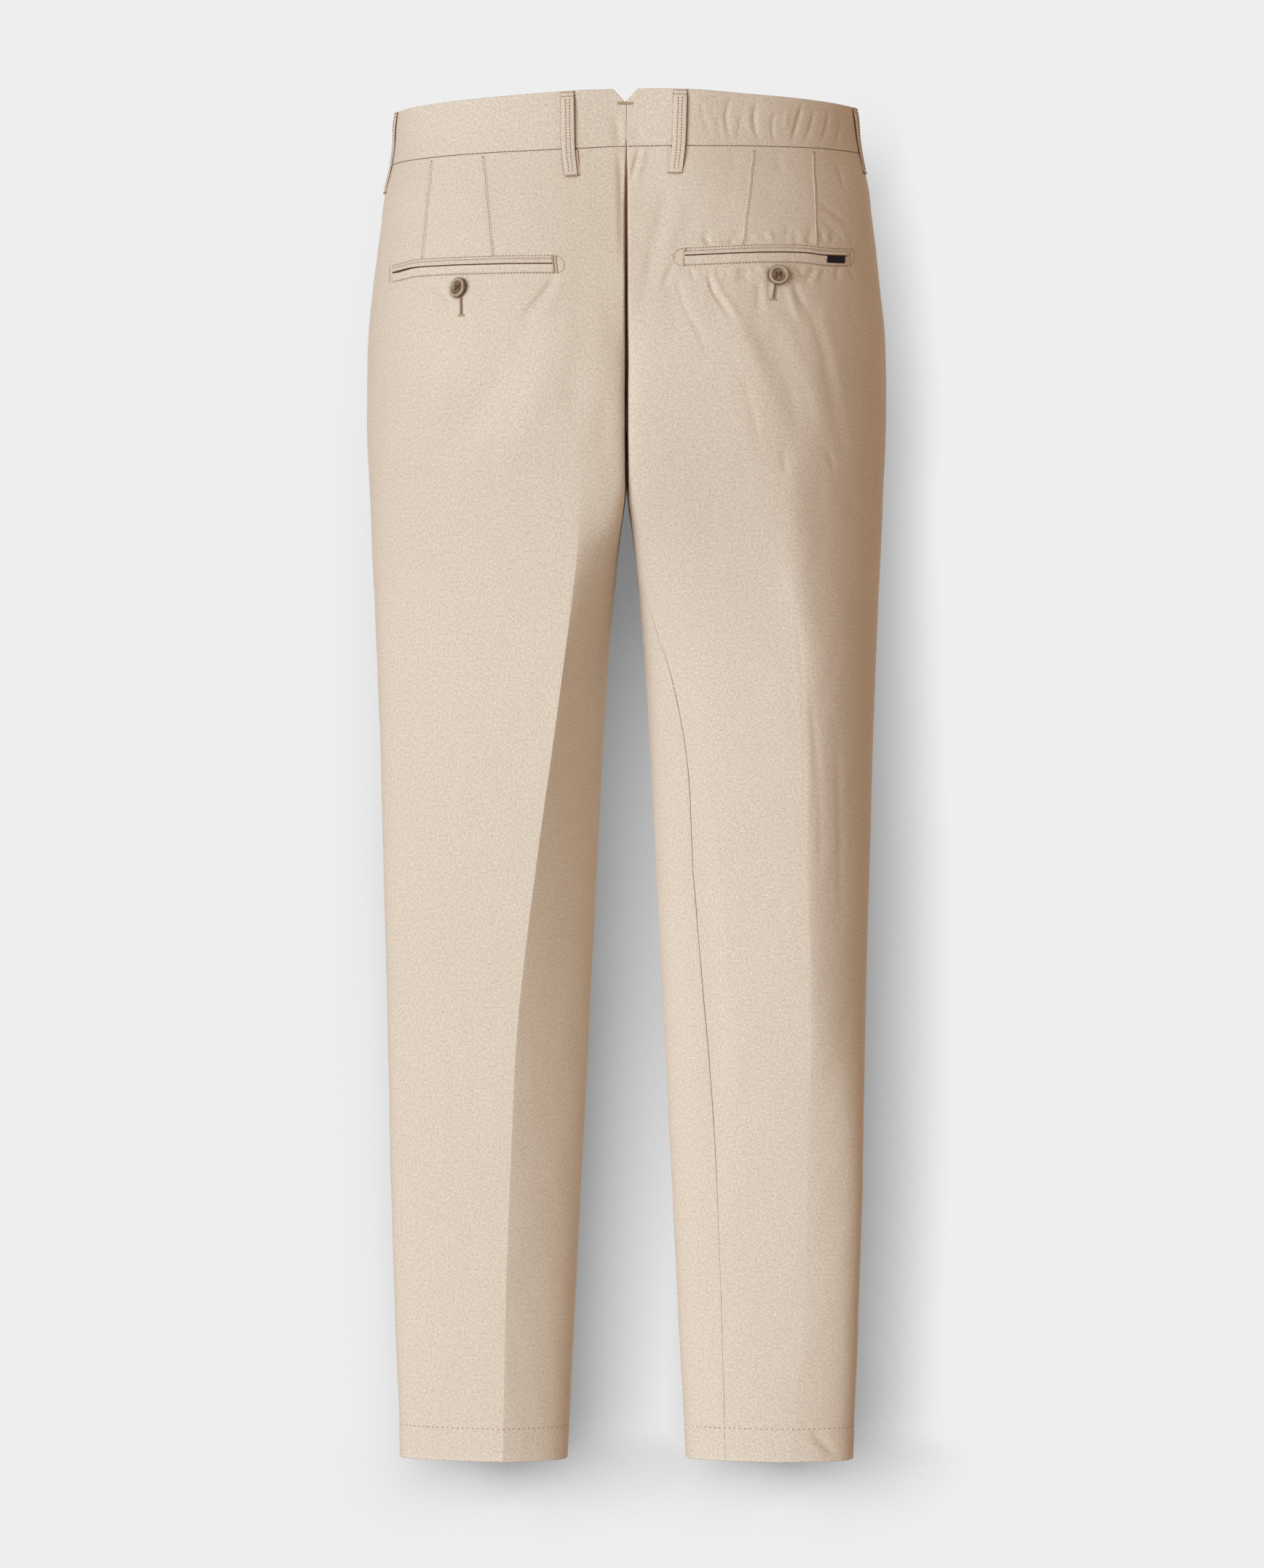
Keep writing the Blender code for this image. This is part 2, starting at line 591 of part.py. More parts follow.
def fly_flap():
    """The overlap of the front opening: a strip along the centre front whose foot curves in to the centre."""
    levels = np.linspace(WAIST_SEAM - 0.5, FLY_FOOT, FLY_ROWS + 1)
    turn = np.clip((FLY_TURN - levels) / (FLY_TURN - FLY_FOOT), 0, 1)
    width = FLY_WIDTH * np.sqrt(1 - 0.9 * turn**2)
    skins = []
    for stand in (LAY_GAP + FLY_WALL, LAY_GAP):
        xs = -width[:, None] * np.array(FLY_COLUMNS)
        runs = [[run_at_x(LEFT, level, x, front=True) for x in row] for level, row in zip(levels, xs)]
        runs = np.array(runs)
        grid = np.broadcast_to(levels[:, None], runs.shape)
        own = moved_out(LEFT, runs, grid, stand)
        past = np.array([[run_at_x(RIGHT, level, FLY_PAST, front=True)] for level in levels])
        lapped = moved_out(RIGHT, past, levels[:, None], stand)
        skins.append(np.concatenate([own, lapped], axis=1))
    wall("fly_flap", *skins, twill)


def button_mesh():
    """A four-hole button with a raised rim, face up: a turned profile with four holes cut through."""
    bpy.ops.mesh.primitive_circle_add(vertices=3)
    blank = bpy.context.object
    profile = bpy.data.meshes.new("button_profile")
    points = [(r * MM, 0, z * MM) for r, z in BUTTON_PROFILE]
    profile.from_pydata(points, [(i, i + 1) for i in range(len(points) - 1)], [])
    blank.data = profile
    screw = blank.modifiers.new("turn", "SCREW")
    screw.axis = "Z"
    screw.steps = screw.render_steps = BUTTON_STEPS
    screw.use_merge_vertices = True
    screw.merge_threshold = 1e-6
    holes = bmesh.new()
    for corner in range(4):
        angle = math.radians(45 + 90 * corner)
        place = Vector((math.cos(angle), math.sin(angle), 0)) * HOLE_CIRCLE * MM
        bmesh.ops.create_cone(
            holes,
            cap_ends=True,
            segments=8,
            radius1=HOLE_RADIUS * MM,
            radius2=HOLE_RADIUS * MM,
            depth=0.02,
            matrix=Matrix.Translation(place),
        )
    cutter_mesh = bpy.data.meshes.new("button_holes")
    holes.to_mesh(cutter_mesh)
    holes.free()
    cutter = bpy.data.objects.new("button_holes", cutter_mesh)
    cutter.hide_render = True
    cutter.display_type = "WIRE"
    cutters.objects.link(cutter)
    cut = blank.modifiers.new("holes", "BOOLEAN")
    cut.object = cutter
    cut.operation = "DIFFERENCE"
    made = bpy.data.meshes.new_from_object(blank.evaluated_get(bpy.context.evaluated_depsgraph_get()))
    made.name = "button"
    bpy.data.objects.remove(blank)
    made.shade_smooth()
    made.set_sharp_from_angle(angle=math.radians(40))
    made.materials.append(horn)
    return made


def sew_on_button(name, mesh, half, place, front=False):
    """Puts a button on the cloth, facing out. place is its x, its level and its turn about the vertical."""
    x, level, turn = place
    run = np.array([run_at_x(half, level, x, front)])
    level = np.array([level])
    normal = Vector(cloth_normals(half, run, level)[0])
    normal.rotate(Matrix.Rotation(math.radians(turn), 3, "Z"))
    point = Vector(moved_out(half, run, level, BUTTON_STAND)[0]) * MM
    button = bpy.data.objects.new(name, mesh)
    button.matrix_world = Matrix.Translation(point) @ normal.to_track_quat("Z", "Y").to_matrix().to_4x4()
    trousers.objects.link(button)


bpy.context.scene.unit_settings.scale_length = 1.0
for leftover in list(bpy.data.objects):
    bpy.data.objects.remove(leftover)
trousers = bpy.data.collections.new("chino_trousers")
cutters = bpy.data.collections.new("cutters")
for collection in (trousers, cutters):
    bpy.context.scene.collection.children.link(collection)
twill = material_of(*COTTON)
horn = material_of(*HORN)
tape = material_of(*TAPE)

for half in (LEFT, RIGHT):
    leg_panels(half)
    pocket_facing(half)
    waistband(half)
    back_pocket(half)
    belt_loops(half)
fly_flap()
label_tab()
button = button_mesh()
for half in (LEFT, RIGHT):
    sew_on_button(f"back_button_{half_name(half)}", button, half, BACK_BUTTON[half])
sew_on_button("waist_button", button, RIGHT, WAIST_BUTTON, front=True)
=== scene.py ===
"""Chino trousers in their worn shape: cloth shells, stitching, buttons and studio.

Each panel of cloth is a thin shell worked out from the same sections as its solid, with the small folds,
seams and hems added along its normals. Lengths in this file are millimetres unless a name says otherwise,
and meshes are written in metres.

A point of the cloth is named by its half, its level and its run. The level is a height before the
waistline's tilt is added. The run is the distance along the section, from the centre back (or, below the
crotch, from the inner edge) round the side to the centre front.
"""

import functools
import math

import bmesh
import bpy
import numpy as np
from mathutils import Matrix, Vector


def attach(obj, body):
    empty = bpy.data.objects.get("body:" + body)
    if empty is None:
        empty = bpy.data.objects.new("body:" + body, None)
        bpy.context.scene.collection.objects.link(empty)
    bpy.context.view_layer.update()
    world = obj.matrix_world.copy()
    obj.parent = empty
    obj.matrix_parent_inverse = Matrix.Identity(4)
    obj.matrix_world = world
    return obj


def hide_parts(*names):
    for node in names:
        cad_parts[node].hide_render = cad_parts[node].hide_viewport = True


MM = 0.001
LEFT, RIGHT = -1, 1  # the wearer's left and right half, as the sign of x

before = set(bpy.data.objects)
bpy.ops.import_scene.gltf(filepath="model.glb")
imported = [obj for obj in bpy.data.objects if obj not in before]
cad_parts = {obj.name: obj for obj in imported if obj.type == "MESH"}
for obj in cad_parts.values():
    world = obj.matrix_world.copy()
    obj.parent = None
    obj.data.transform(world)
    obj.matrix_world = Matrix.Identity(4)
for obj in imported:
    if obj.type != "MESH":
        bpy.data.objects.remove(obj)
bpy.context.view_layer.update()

# ---------- The form of the garment ----------

BAND_TOP = 19.0
WAIST_SEAM = -20.0
CROTCH = -278.0
HEM = -1044.0
SEAM_GAP = 0.1

SECTION_COLUMNS = ("level", "outer", "inner", "back", "front", "middle", "groove", "square_front")
SECTIONS = (
    (24, 179.8, 0.2, 98.0, 95.0, 0, 0, 2.0),
    (-5, 179.8, 0.2, 98.5, 96.0, 0, 0, 2.0),
    (-20, 183.6, 0.2, 101.5, 98.0, 0, 0.008, 2.0),
    (-43, 190.6, 0.2, 108.0, 100.5, 0, 0.036, 2.0),
    (-66, 193.4, 0.2, 115.0, 103.0, 0, 0.06, 2.0),
    (-112, 199.0, 0.2, 127.0, 107.0, 0, 0.09, 2.0),
    (-158, 203.7, 0.2, 136.5, 110.0, 0, 0.115, 2.4),
    (-190, 204.7, 0.2, 139.0, 111.0, 0, 0.13, 3.0),
    (-238, 204.6, 0.2, 133.0, 108.0, 1, 0.16, 4.5),
    (-278, 202.9, 0.2, 122.5, 102.0, 2, 0.16, 5.5),
    (-324, 201.1, 5.8, 109.5, 94.0, 5, 0.02, 4.2),
    (-382, 198.7, 11.5, 95.5, 85.0, 8, 0, 3.2),
    (-468, 195.3, 17.6, 80.5, 75.0, 10, 0, 2.6),
    (-583, 192.2, 23.6, 65.0, 64.0, 12, 0, 2.4),
    (-698, 189.1, 29.3, 55.0, 55.0, 11, 0, 2.3),
    (-813, 186.7, 35.2, 49.0, 50.0, 9, 0, 2.2),
    (-928, 183.1, 40.8, 46.0, 47.0, 6, 0, 2.2),
    (-1044, 178.7, 46.9, 44.0, 45.0, 4, 0, 2.2),
)
CREASE_COLUMNS = ("level", "left_back", "right_back", "left_front", "right_front")
CREASES = (
    (24, 30, 40, 80, 80),
    (-66, 36, 52, 92, 88),
    (-158, 41, 70, 98, 92),
    (-238, 40, 86, 101, 92),
    (-278, 35, 96, 103, 90),
    (-324, 37.5, 112, 110, 86),
    (-382, 44, 132, 122, 81),
    (-468, 55.5, 139, 134, 79),
    (-583, 71.5, 141, 133, 78),
    (-698, 85, 144, 130, 79),
    (-813, 91, 140.5, 130, 83),
    (-928, 95, 138, 129, 88),
    (-1044, 97, 126, 128, 98),
)
SHARPNESS_COLUMNS = ("level", "left_back", "right_back", "left_front", "right_front")
SHARPNESS = (
    (24, 2.0, 2.0, 2.0, 2.0),
    (-158, 2.0, 2.0, 1.85, 1.85),
    (-190, 1.95, 2.0, 1.8, 1.8),
    (-238, 1.62, 2.0, 1.7, 1.7),
    (-284, 1.34, 1.95, 1.6, 1.6),
    (-324, 1.2, 1.88, 1.5, 1.5),
    (-382, 1.1, 1.74, 1.42, 1.42),
    (-583, 1.05, 1.47, 1.35, 1.35),
    (-813, 1.05, 1.48, 1.3, 1.3),
    (-1044, 1.05, 1.7, 1.3, 1.3),
)
# How square the back's curve is on either side of the crease.
SQUARE_COLUMNS = ("level", "left_inner", "left_outer", "right_inner", "right_outer")
SQUARES = (
    (24, 2.0, 2.0, 2.0, 1.75),
    (-24, 2.0, 2.0, 2.0, 1.8),
    (-66, 2.0, 2.0, 2.0, 2.05),
    (-112, 3.2, 2.0, 3.2, 2.0),
    (-158, 14.0, 2.0, 14.0, 2.0),
    (-190, 40.0, 2.0, 40.0, 2.0),
    (-238, 48.0, 2.0, 60.0, 2.0),
    (-278, 48.0, 2.0, 30.0, 1.9),
    (-300, 28.0, 2.0, 17.0, 1.85),
    (-324, 9.0, 2.0, 9.5, 1.8),
    (-350, 4.2, 2.0, 6.5, 1.8),
    (-382, 2.5, 2.0, 4.8, 1.75),
    (-468, 1.6, 2.0, 3.0, 1.75),
    (-583, 1.45, 2.0, 2.4, 1.8),
    (-698, 1.55, 2.0, 2.3, 2.1),
    (-813, 1.8, 2.0, 2.2, 4.6),
    (-928, 2.3, 2.0, 2.2, 5.0),
    (-1044, 3.2, 2.0, 2.2, 4.0),
)
SEAM_COLUMNS = ("level", "left_inseam", "right_inseam", "left_side", "right_side")
SEAMS = (
    (24, 0, 0, -6, -8),
    (-278, 0, 0, -8, -16),
    (-330, -12, 52, -8, -20),
    (-400, -18, 63, -8, -24),
    (-600, -22, 52, -6, -26),
    (-780, -21, 52, -6, -24),
    (-1044, -18, 49, -4, -22),
)

# The waistline's tilt and rise: per millimetre of x, at the back, at the centre back and at the front.
TOP_TILT, SEAM_TILT = 0.0086, 0.0235
TOP_BACK_RISE, TOP_CENTRE_RISE, TOP_CENTRE_WIDTH = 3.5, 4.0, 80.0
SEAM_CENTRE_RISE, SEAM_CENTRE_WIDTH = 1.3, 40.0
TOP_FRONT_DROP, SEAM_FRONT_DROP = 14.0, 15.0
TILT_FADES_AT = -140.0
RISE_POWER = 4.0
LIFT_DEPTH = 100.0  # the depth from front to back over which the rises come in
LIFT_PAST_TOP = 1.3  # the lift goes on a little past the band's top
GROOVE_WIDTH = 2.5
FLATTEST_REACH = 0.15  # the least share of a quarter of an ellipse that a half's centre part takes

# Large soft folds: from (x, level) to (x, level), half width, and depth, negative for a ridge.
FOLD_COLUMNS = ("back", "x_from", "level_from", "x_to", "level_to", "width", "depth")
FOLDS = (
    (True, 44, 50, 52, -62, 30, -4.5),
    (True, 97, -128, 128, -262, 11, 1.6),
    (True, 118, -125, 150, -250, 10, 1.2),
    (True, 140, -140, 162, -300, 12, -1.0),
    (True, -88, -150, -150, -262, 17, 3.0),
    (True, 128, -262, 138, -400, 14, -3.0),
    (False, 60, -560, 130, -610, 16, 3.0),
    (False, -60, -580, -130, -620, 16, 3.0),
)
FOLD_FULL, FOLD_FADE = 1.5, 2.2  # a fold keeps its depth in its middle, and fades over both ends
CURVE_STEPS = 150  # samples of each quarter of a section at even angles, and as many at even depths


def table(columns, rows):
    """A table as (values, slopes) for each column name, with rows in rising order of level."""
    values = np.array(rows, float)[::-1].T
    knots = values[0]
    return {
        "level": knots,
        **{name: (column, np.gradient(column, knots)) for name, column in zip(columns[1:], values[1:])},
    }


SECTION_TABLE = table(SECTION_COLUMNS, SECTIONS)
CREASE_TABLE = table(CREASE_COLUMNS, CREASES)
SHARPNESS_TABLE = table(SHARPNESS_COLUMNS, SHARPNESS)
SEAM_TABLE = table(SEAM_COLUMNS, SEAMS)
SQUARE_TABLE = table(SQUARE_COLUMNS, SQUARES)


def read(source, name, level):
    """Smooth curve through one column of a table: cubic pieces whose slopes come from their neighbours."""
    knots = source["level"]
    values, slopes = source[name]
    level = np.clip(level, knots[0], knots[-1])
    i = np.clip(np.searchsorted(knots, level) - 1, 0, len(knots) - 2)
    span = knots[i + 1] - knots[i]
    t = (level - knots[i]) / span
    start, end = values[i], values[i + 1]
    curve = (1 + 2 * t) * (1 - t) ** 2 * start + t**2 * (3 - 2 * t) * end
    return curve + span * t * (1 - t) * ((1 - t) * slopes[i] - t * slopes[i + 1])


def distances(points):
    """The distance along a line of points, from its first."""
    return np.concatenate([[0], np.cumsum(np.linalg.norm(np.diff(points, axis=0), axis=1))])


def unit(vectors):
    """Vectors of length 1 in the same directions."""
    return vectors / np.linalg.norm(vectors, axis=-1, keepdims=True)


def pair(first, second):
    """Two arrays as one of pairs."""
    return np.stack([first, second], axis=-1)


def down(levels, runs):
    """A level for each row, spread over a grid of runs."""
    return np.broadcast_to(levels[:, None], runs.shape)


def ease(t):
    """0 to 1 with flat ends."""
    t = np.clip(t, 0, 1)
    return t * t * (3 - 2 * t)


def half_name(half):
    """The wearer's side that a half is on."""
    return "left" if half == LEFT else "right"


def quarter(half, face, part, level):
    """One quarter of a section: distances from the centre plane, and y.

    An angle goes from 0 at the crease to its last value at the edge. The share of the way to the edge is
    (sin angle / sin last) ** (2 / sharpness), and the depth is cos angle ** (2 / square). At the outer
    edge and round a leg the last angle is a right angle. Above the crotch it's smaller, so that the halves
    meet at the centre seam, whose depth follows the rise's curve.
    """
    column = f"{half_name(half)}_{face}"
    crease = read(CREASE_TABLE, column, level)
    sharpness = read(SHARPNESS_TABLE, column, level)
    edge, last = read(SECTION_TABLE, part, level), math.pi / 2
    if face == "back":
        square = read(SQUARE_TABLE, f"{half_name(half)}_{part}", level)
    else:
        square = 2.0 if part == "outer" else read(SECTION_TABLE, "square_front", level)
    if part == "inner" and level > CROTCH:
        height = min(1.0, (level - CROTCH) / (WAIST_SEAM - CROTCH))
        centre = math.sqrt(1 - (1 - height) ** RISE_POWER)
        last = max(math.acos(centre ** (square / 2)), math.asin(FLATTEST_REACH ** (sharpness / 2)))
        edge = SEAM_GAP / 2
    depths = np.linspace(1, max(0.0, math.cos(last)) ** (2 / square), CURVE_STEPS)[1:-1]
    angle = np.sort(np.concatenate([np.linspace(0, last, CURVE_STEPS), np.arccos(depths ** (square / 2))]))
    away = crease + (edge - crease) * (np.sin(angle) / math.sin(last)) ** (2 / sharpness)
    deep = read(SECTION_TABLE, face, level) * np.clip(np.cos(angle), 0, 1) ** (2 / square)
    if face == "back":
        deep = deep * (
            1 - read(SECTION_TABLE, "groove", level) * np.clip(1 - away / GROOVE_WIDTH, 0, 1) ** 2
        )
    return away, read(SECTION_TABLE, "middle", level) + (-deep if face == "back" else deep)


@functools.lru_cache(maxsize=None)
def section(half, level):
    """A half's whole section at a level: points (x, y), the run of each, and the runs where quarters end."""
    path, ends = [], {}
    for face, part, backwards, landmark in (
        ("back", "inner", True, "back_crease"),
        ("back", "outer", False, "side"),
        ("front", "outer", True, "front_crease"),
        ("front", "inner", False, "end"),
    ):
        away, y = quarter(half, face, part, level)
        points = np.stack([half * away, y], axis=1)
        if backwards:
            points = points[::-1]
        path.append(points if not path else points[1:])
        ends[landmark] = sum(len(piece) for piece in path) - 1
    points = np.concatenate(path)
    run = distances(points)
    return points, run, {landmark: run[i] for landmark, i in ends.items()}


def landmark(half, level, name):
    """The run of one of a section's landmarks."""
    return section(half, float(level))[2][name]


FORM_COLUMNS, FORM_STEP = 1500, 1.6
FORM_FINE, FORM_FINE_ROWS = 12.0, 60  # sections crowd together just above the crotch
FORM_PAST = 4.0  # how far the form goes on past the hem and the band's top
JUST_BELOW = 0.01  # how far below the crotch the legs' first section lies
FORM_SLOPE, SURFACE_SLOPE = 0.6, 0.4  # steps over which the form's and a surface's slopes are taken


@functools.lru_cache(maxsize=None)
def form(half):
    """A half's sections at close levels: levels, whole runs, x and y at even shares of the run, and the
    runs of the back crease and of the side.
    """
    above = CROTCH + FORM_FINE * np.linspace(0, 1, FORM_FINE_ROWS) ** 2
    below = np.arange(HEM - FORM_PAST, CROTCH - JUST_BELOW, FORM_STEP)
    upper = np.arange(CROTCH + FORM_FINE + FORM_STEP, BAND_TOP + FORM_PAST, FORM_STEP)
    levels = np.concatenate([below, [CROTCH - JUST_BELOW], above, upper])
    shares = np.linspace(0, 1, FORM_COLUMNS)
    totals, xs, ys, creases, sides = [], [], [], [], []
    for level in levels:
        points, runs, marks = section(half, float(level))
        creases.append(marks["back_crease"])
        sides.append(marks["side"])
        totals.append(runs[-1])
        xs.append(np.interp(shares * runs[-1], runs, points[:, 0]))
        ys.append(np.interp(shares * runs[-1], runs, points[:, 1]))
    return levels, np.array(totals), np.array(xs), np.array(ys), np.array(creases), np.array(sides)


def crease_run(half, level):
    """The run of the back crease, straight between the form's levels."""
    levels, _, _, _, creases, _ = form(half)
    return np.interp(level, levels, creases)


def side_run(half, level):
    """The run of the side, straight between the form's levels."""
    levels, _, _, _, _, sides = form(half)
    return np.interp(level, levels, sides)


def lift(x, y, level):
    """How far the waistline's tilt and rise move a point up."""
    back = np.clip(-y / LIFT_DEPTH, 0, 1) ** 2
    front = np.clip(y / LIFT_DEPTH, 0, 1) ** 2
    top = TOP_TILT * x + back * (TOP_BACK_RISE + TOP_CENTRE_RISE * np.exp(-((x / TOP_CENTRE_WIDTH) ** 2)))
    top = top - front * TOP_FRONT_DROP
    seam = SEAM_TILT * x + back * SEAM_CENTRE_RISE * np.exp(-((x / SEAM_CENTRE_WIDTH) ** 2))
    seam = seam - front * SEAM_FRONT_DROP
    up = np.clip((level - WAIST_SEAM) / (BAND_TOP - WAIST_SEAM), 0, LIFT_PAST_TOP)
    fade = ease((level - TILT_FADES_AT) / (WAIST_SEAM - TILT_FADES_AT))
    return np.where(level > WAIST_SEAM, seam + (top - seam) * up, seam * fade)


def fold_depth(x, level, back):
    """Summed depth of the large folds: each is a soft trough that fades at its ends."""
    total = np.zeros_like(x)
    for row in FOLDS:
        fold = dict(zip(FOLD_COLUMNS, row))
        if fold["back"] != back:
            continue
        run_x = fold["x_to"] - fold["x_from"]
        run_level = fold["level_to"] - fold["level_from"]
        length = math.hypot(run_x, run_level)
        along = ((x - fold["x_from"]) * run_x + (level - fold["level_from"]) * run_level) / length**2
        across = ((x - fold["x_from"]) * run_level - (level - fold["level_from"]) * run_x) / length
        fade = ease(FOLD_FULL - FOLD_FADE * np.abs(along - 0.5))
        total += fold["depth"] * fade * np.exp(-((across / fold["width"]) ** 2))
    return total


def cloth(half, run, level):
    """Points of the cloth's form for arrays of run and level, as (..., 3)."""
    run, level = np.broadcast_arrays(np.asarray(run, float), np.asarray(level, float))
    levels, totals, xs, ys, _, _ = form(half)
    row = np.clip(np.searchsorted(levels, level, side="right") - 1, 0, len(levels) - 2)
    up = np.clip((level - levels[row]) / (levels[row + 1] - levels[row]), 0, 1)
    total = totals[row] + up * (totals[row + 1] - totals[row])
    share = np.where(
        level <= CROTCH, np.mod(run, total), np.clip(run, 0, total)
    ) / total * (FORM_COLUMNS - 1)
    column = np.clip(share.astype(int), 0, FORM_COLUMNS - 2)
    on = share - column

    def blend(grid):
        low = grid[row, column] * (1 - on) + grid[row, column + 1] * on
        high = grid[row + 1, column] * (1 - on) + grid[row + 1, column + 1] * on
        return low * (1 - up) + high * up

    x, y = blend(xs), blend(ys)
    facing = np.sqrt(np.clip(1 - (x / read(SECTION_TABLE, "outer", level)) ** 2, 0, 1))
    y = np.where(y < 0, y + facing * fold_depth(x, level, True), y - facing * fold_depth(x, level, False))
    return np.stack([x, y, level + lift(x, y, level)], axis=-1)


def cloth_normals(half, run, level):
    """Outward unit normals of the cloth's form, from its slopes along the run and up from the level.

    The upward slope follows the crease, because near the crotch the runs grow fast with the level.
    """
    back = np.where(level > CROTCH, np.maximum(run - FORM_SLOPE, 0), run - FORM_SLOPE)
    along = cloth(half, run + FORM_SLOPE, level) - cloth(half, back, level)
    low = np.where(level > CROTCH, level, level - FORM_SLOPE)
    crease = crease_run(half, level)
    high_run, low_run = (run + crease_run(half, z) - crease for z in (low + FORM_SLOPE, low))
    up = cloth(half, high_run, low + FORM_SLOPE) - cloth(half, low_run, low)
    return unit(half * np.cross(along, up))


def run_at_x(half, level, x, front=False):
    """The run where the back, or the front, of a section reaches x."""
    points, runs, marks = section(half, float(level))
    away = np.abs(points[:, 0])
    if front:
        keep = runs >= marks["side"]
        return float(np.interp(-abs(x), -away[keep], runs[keep]))
    keep = runs <= marks["side"]
    return float(np.interp(abs(x), away[keep], runs[keep]))


# ---------- Small folds ----------

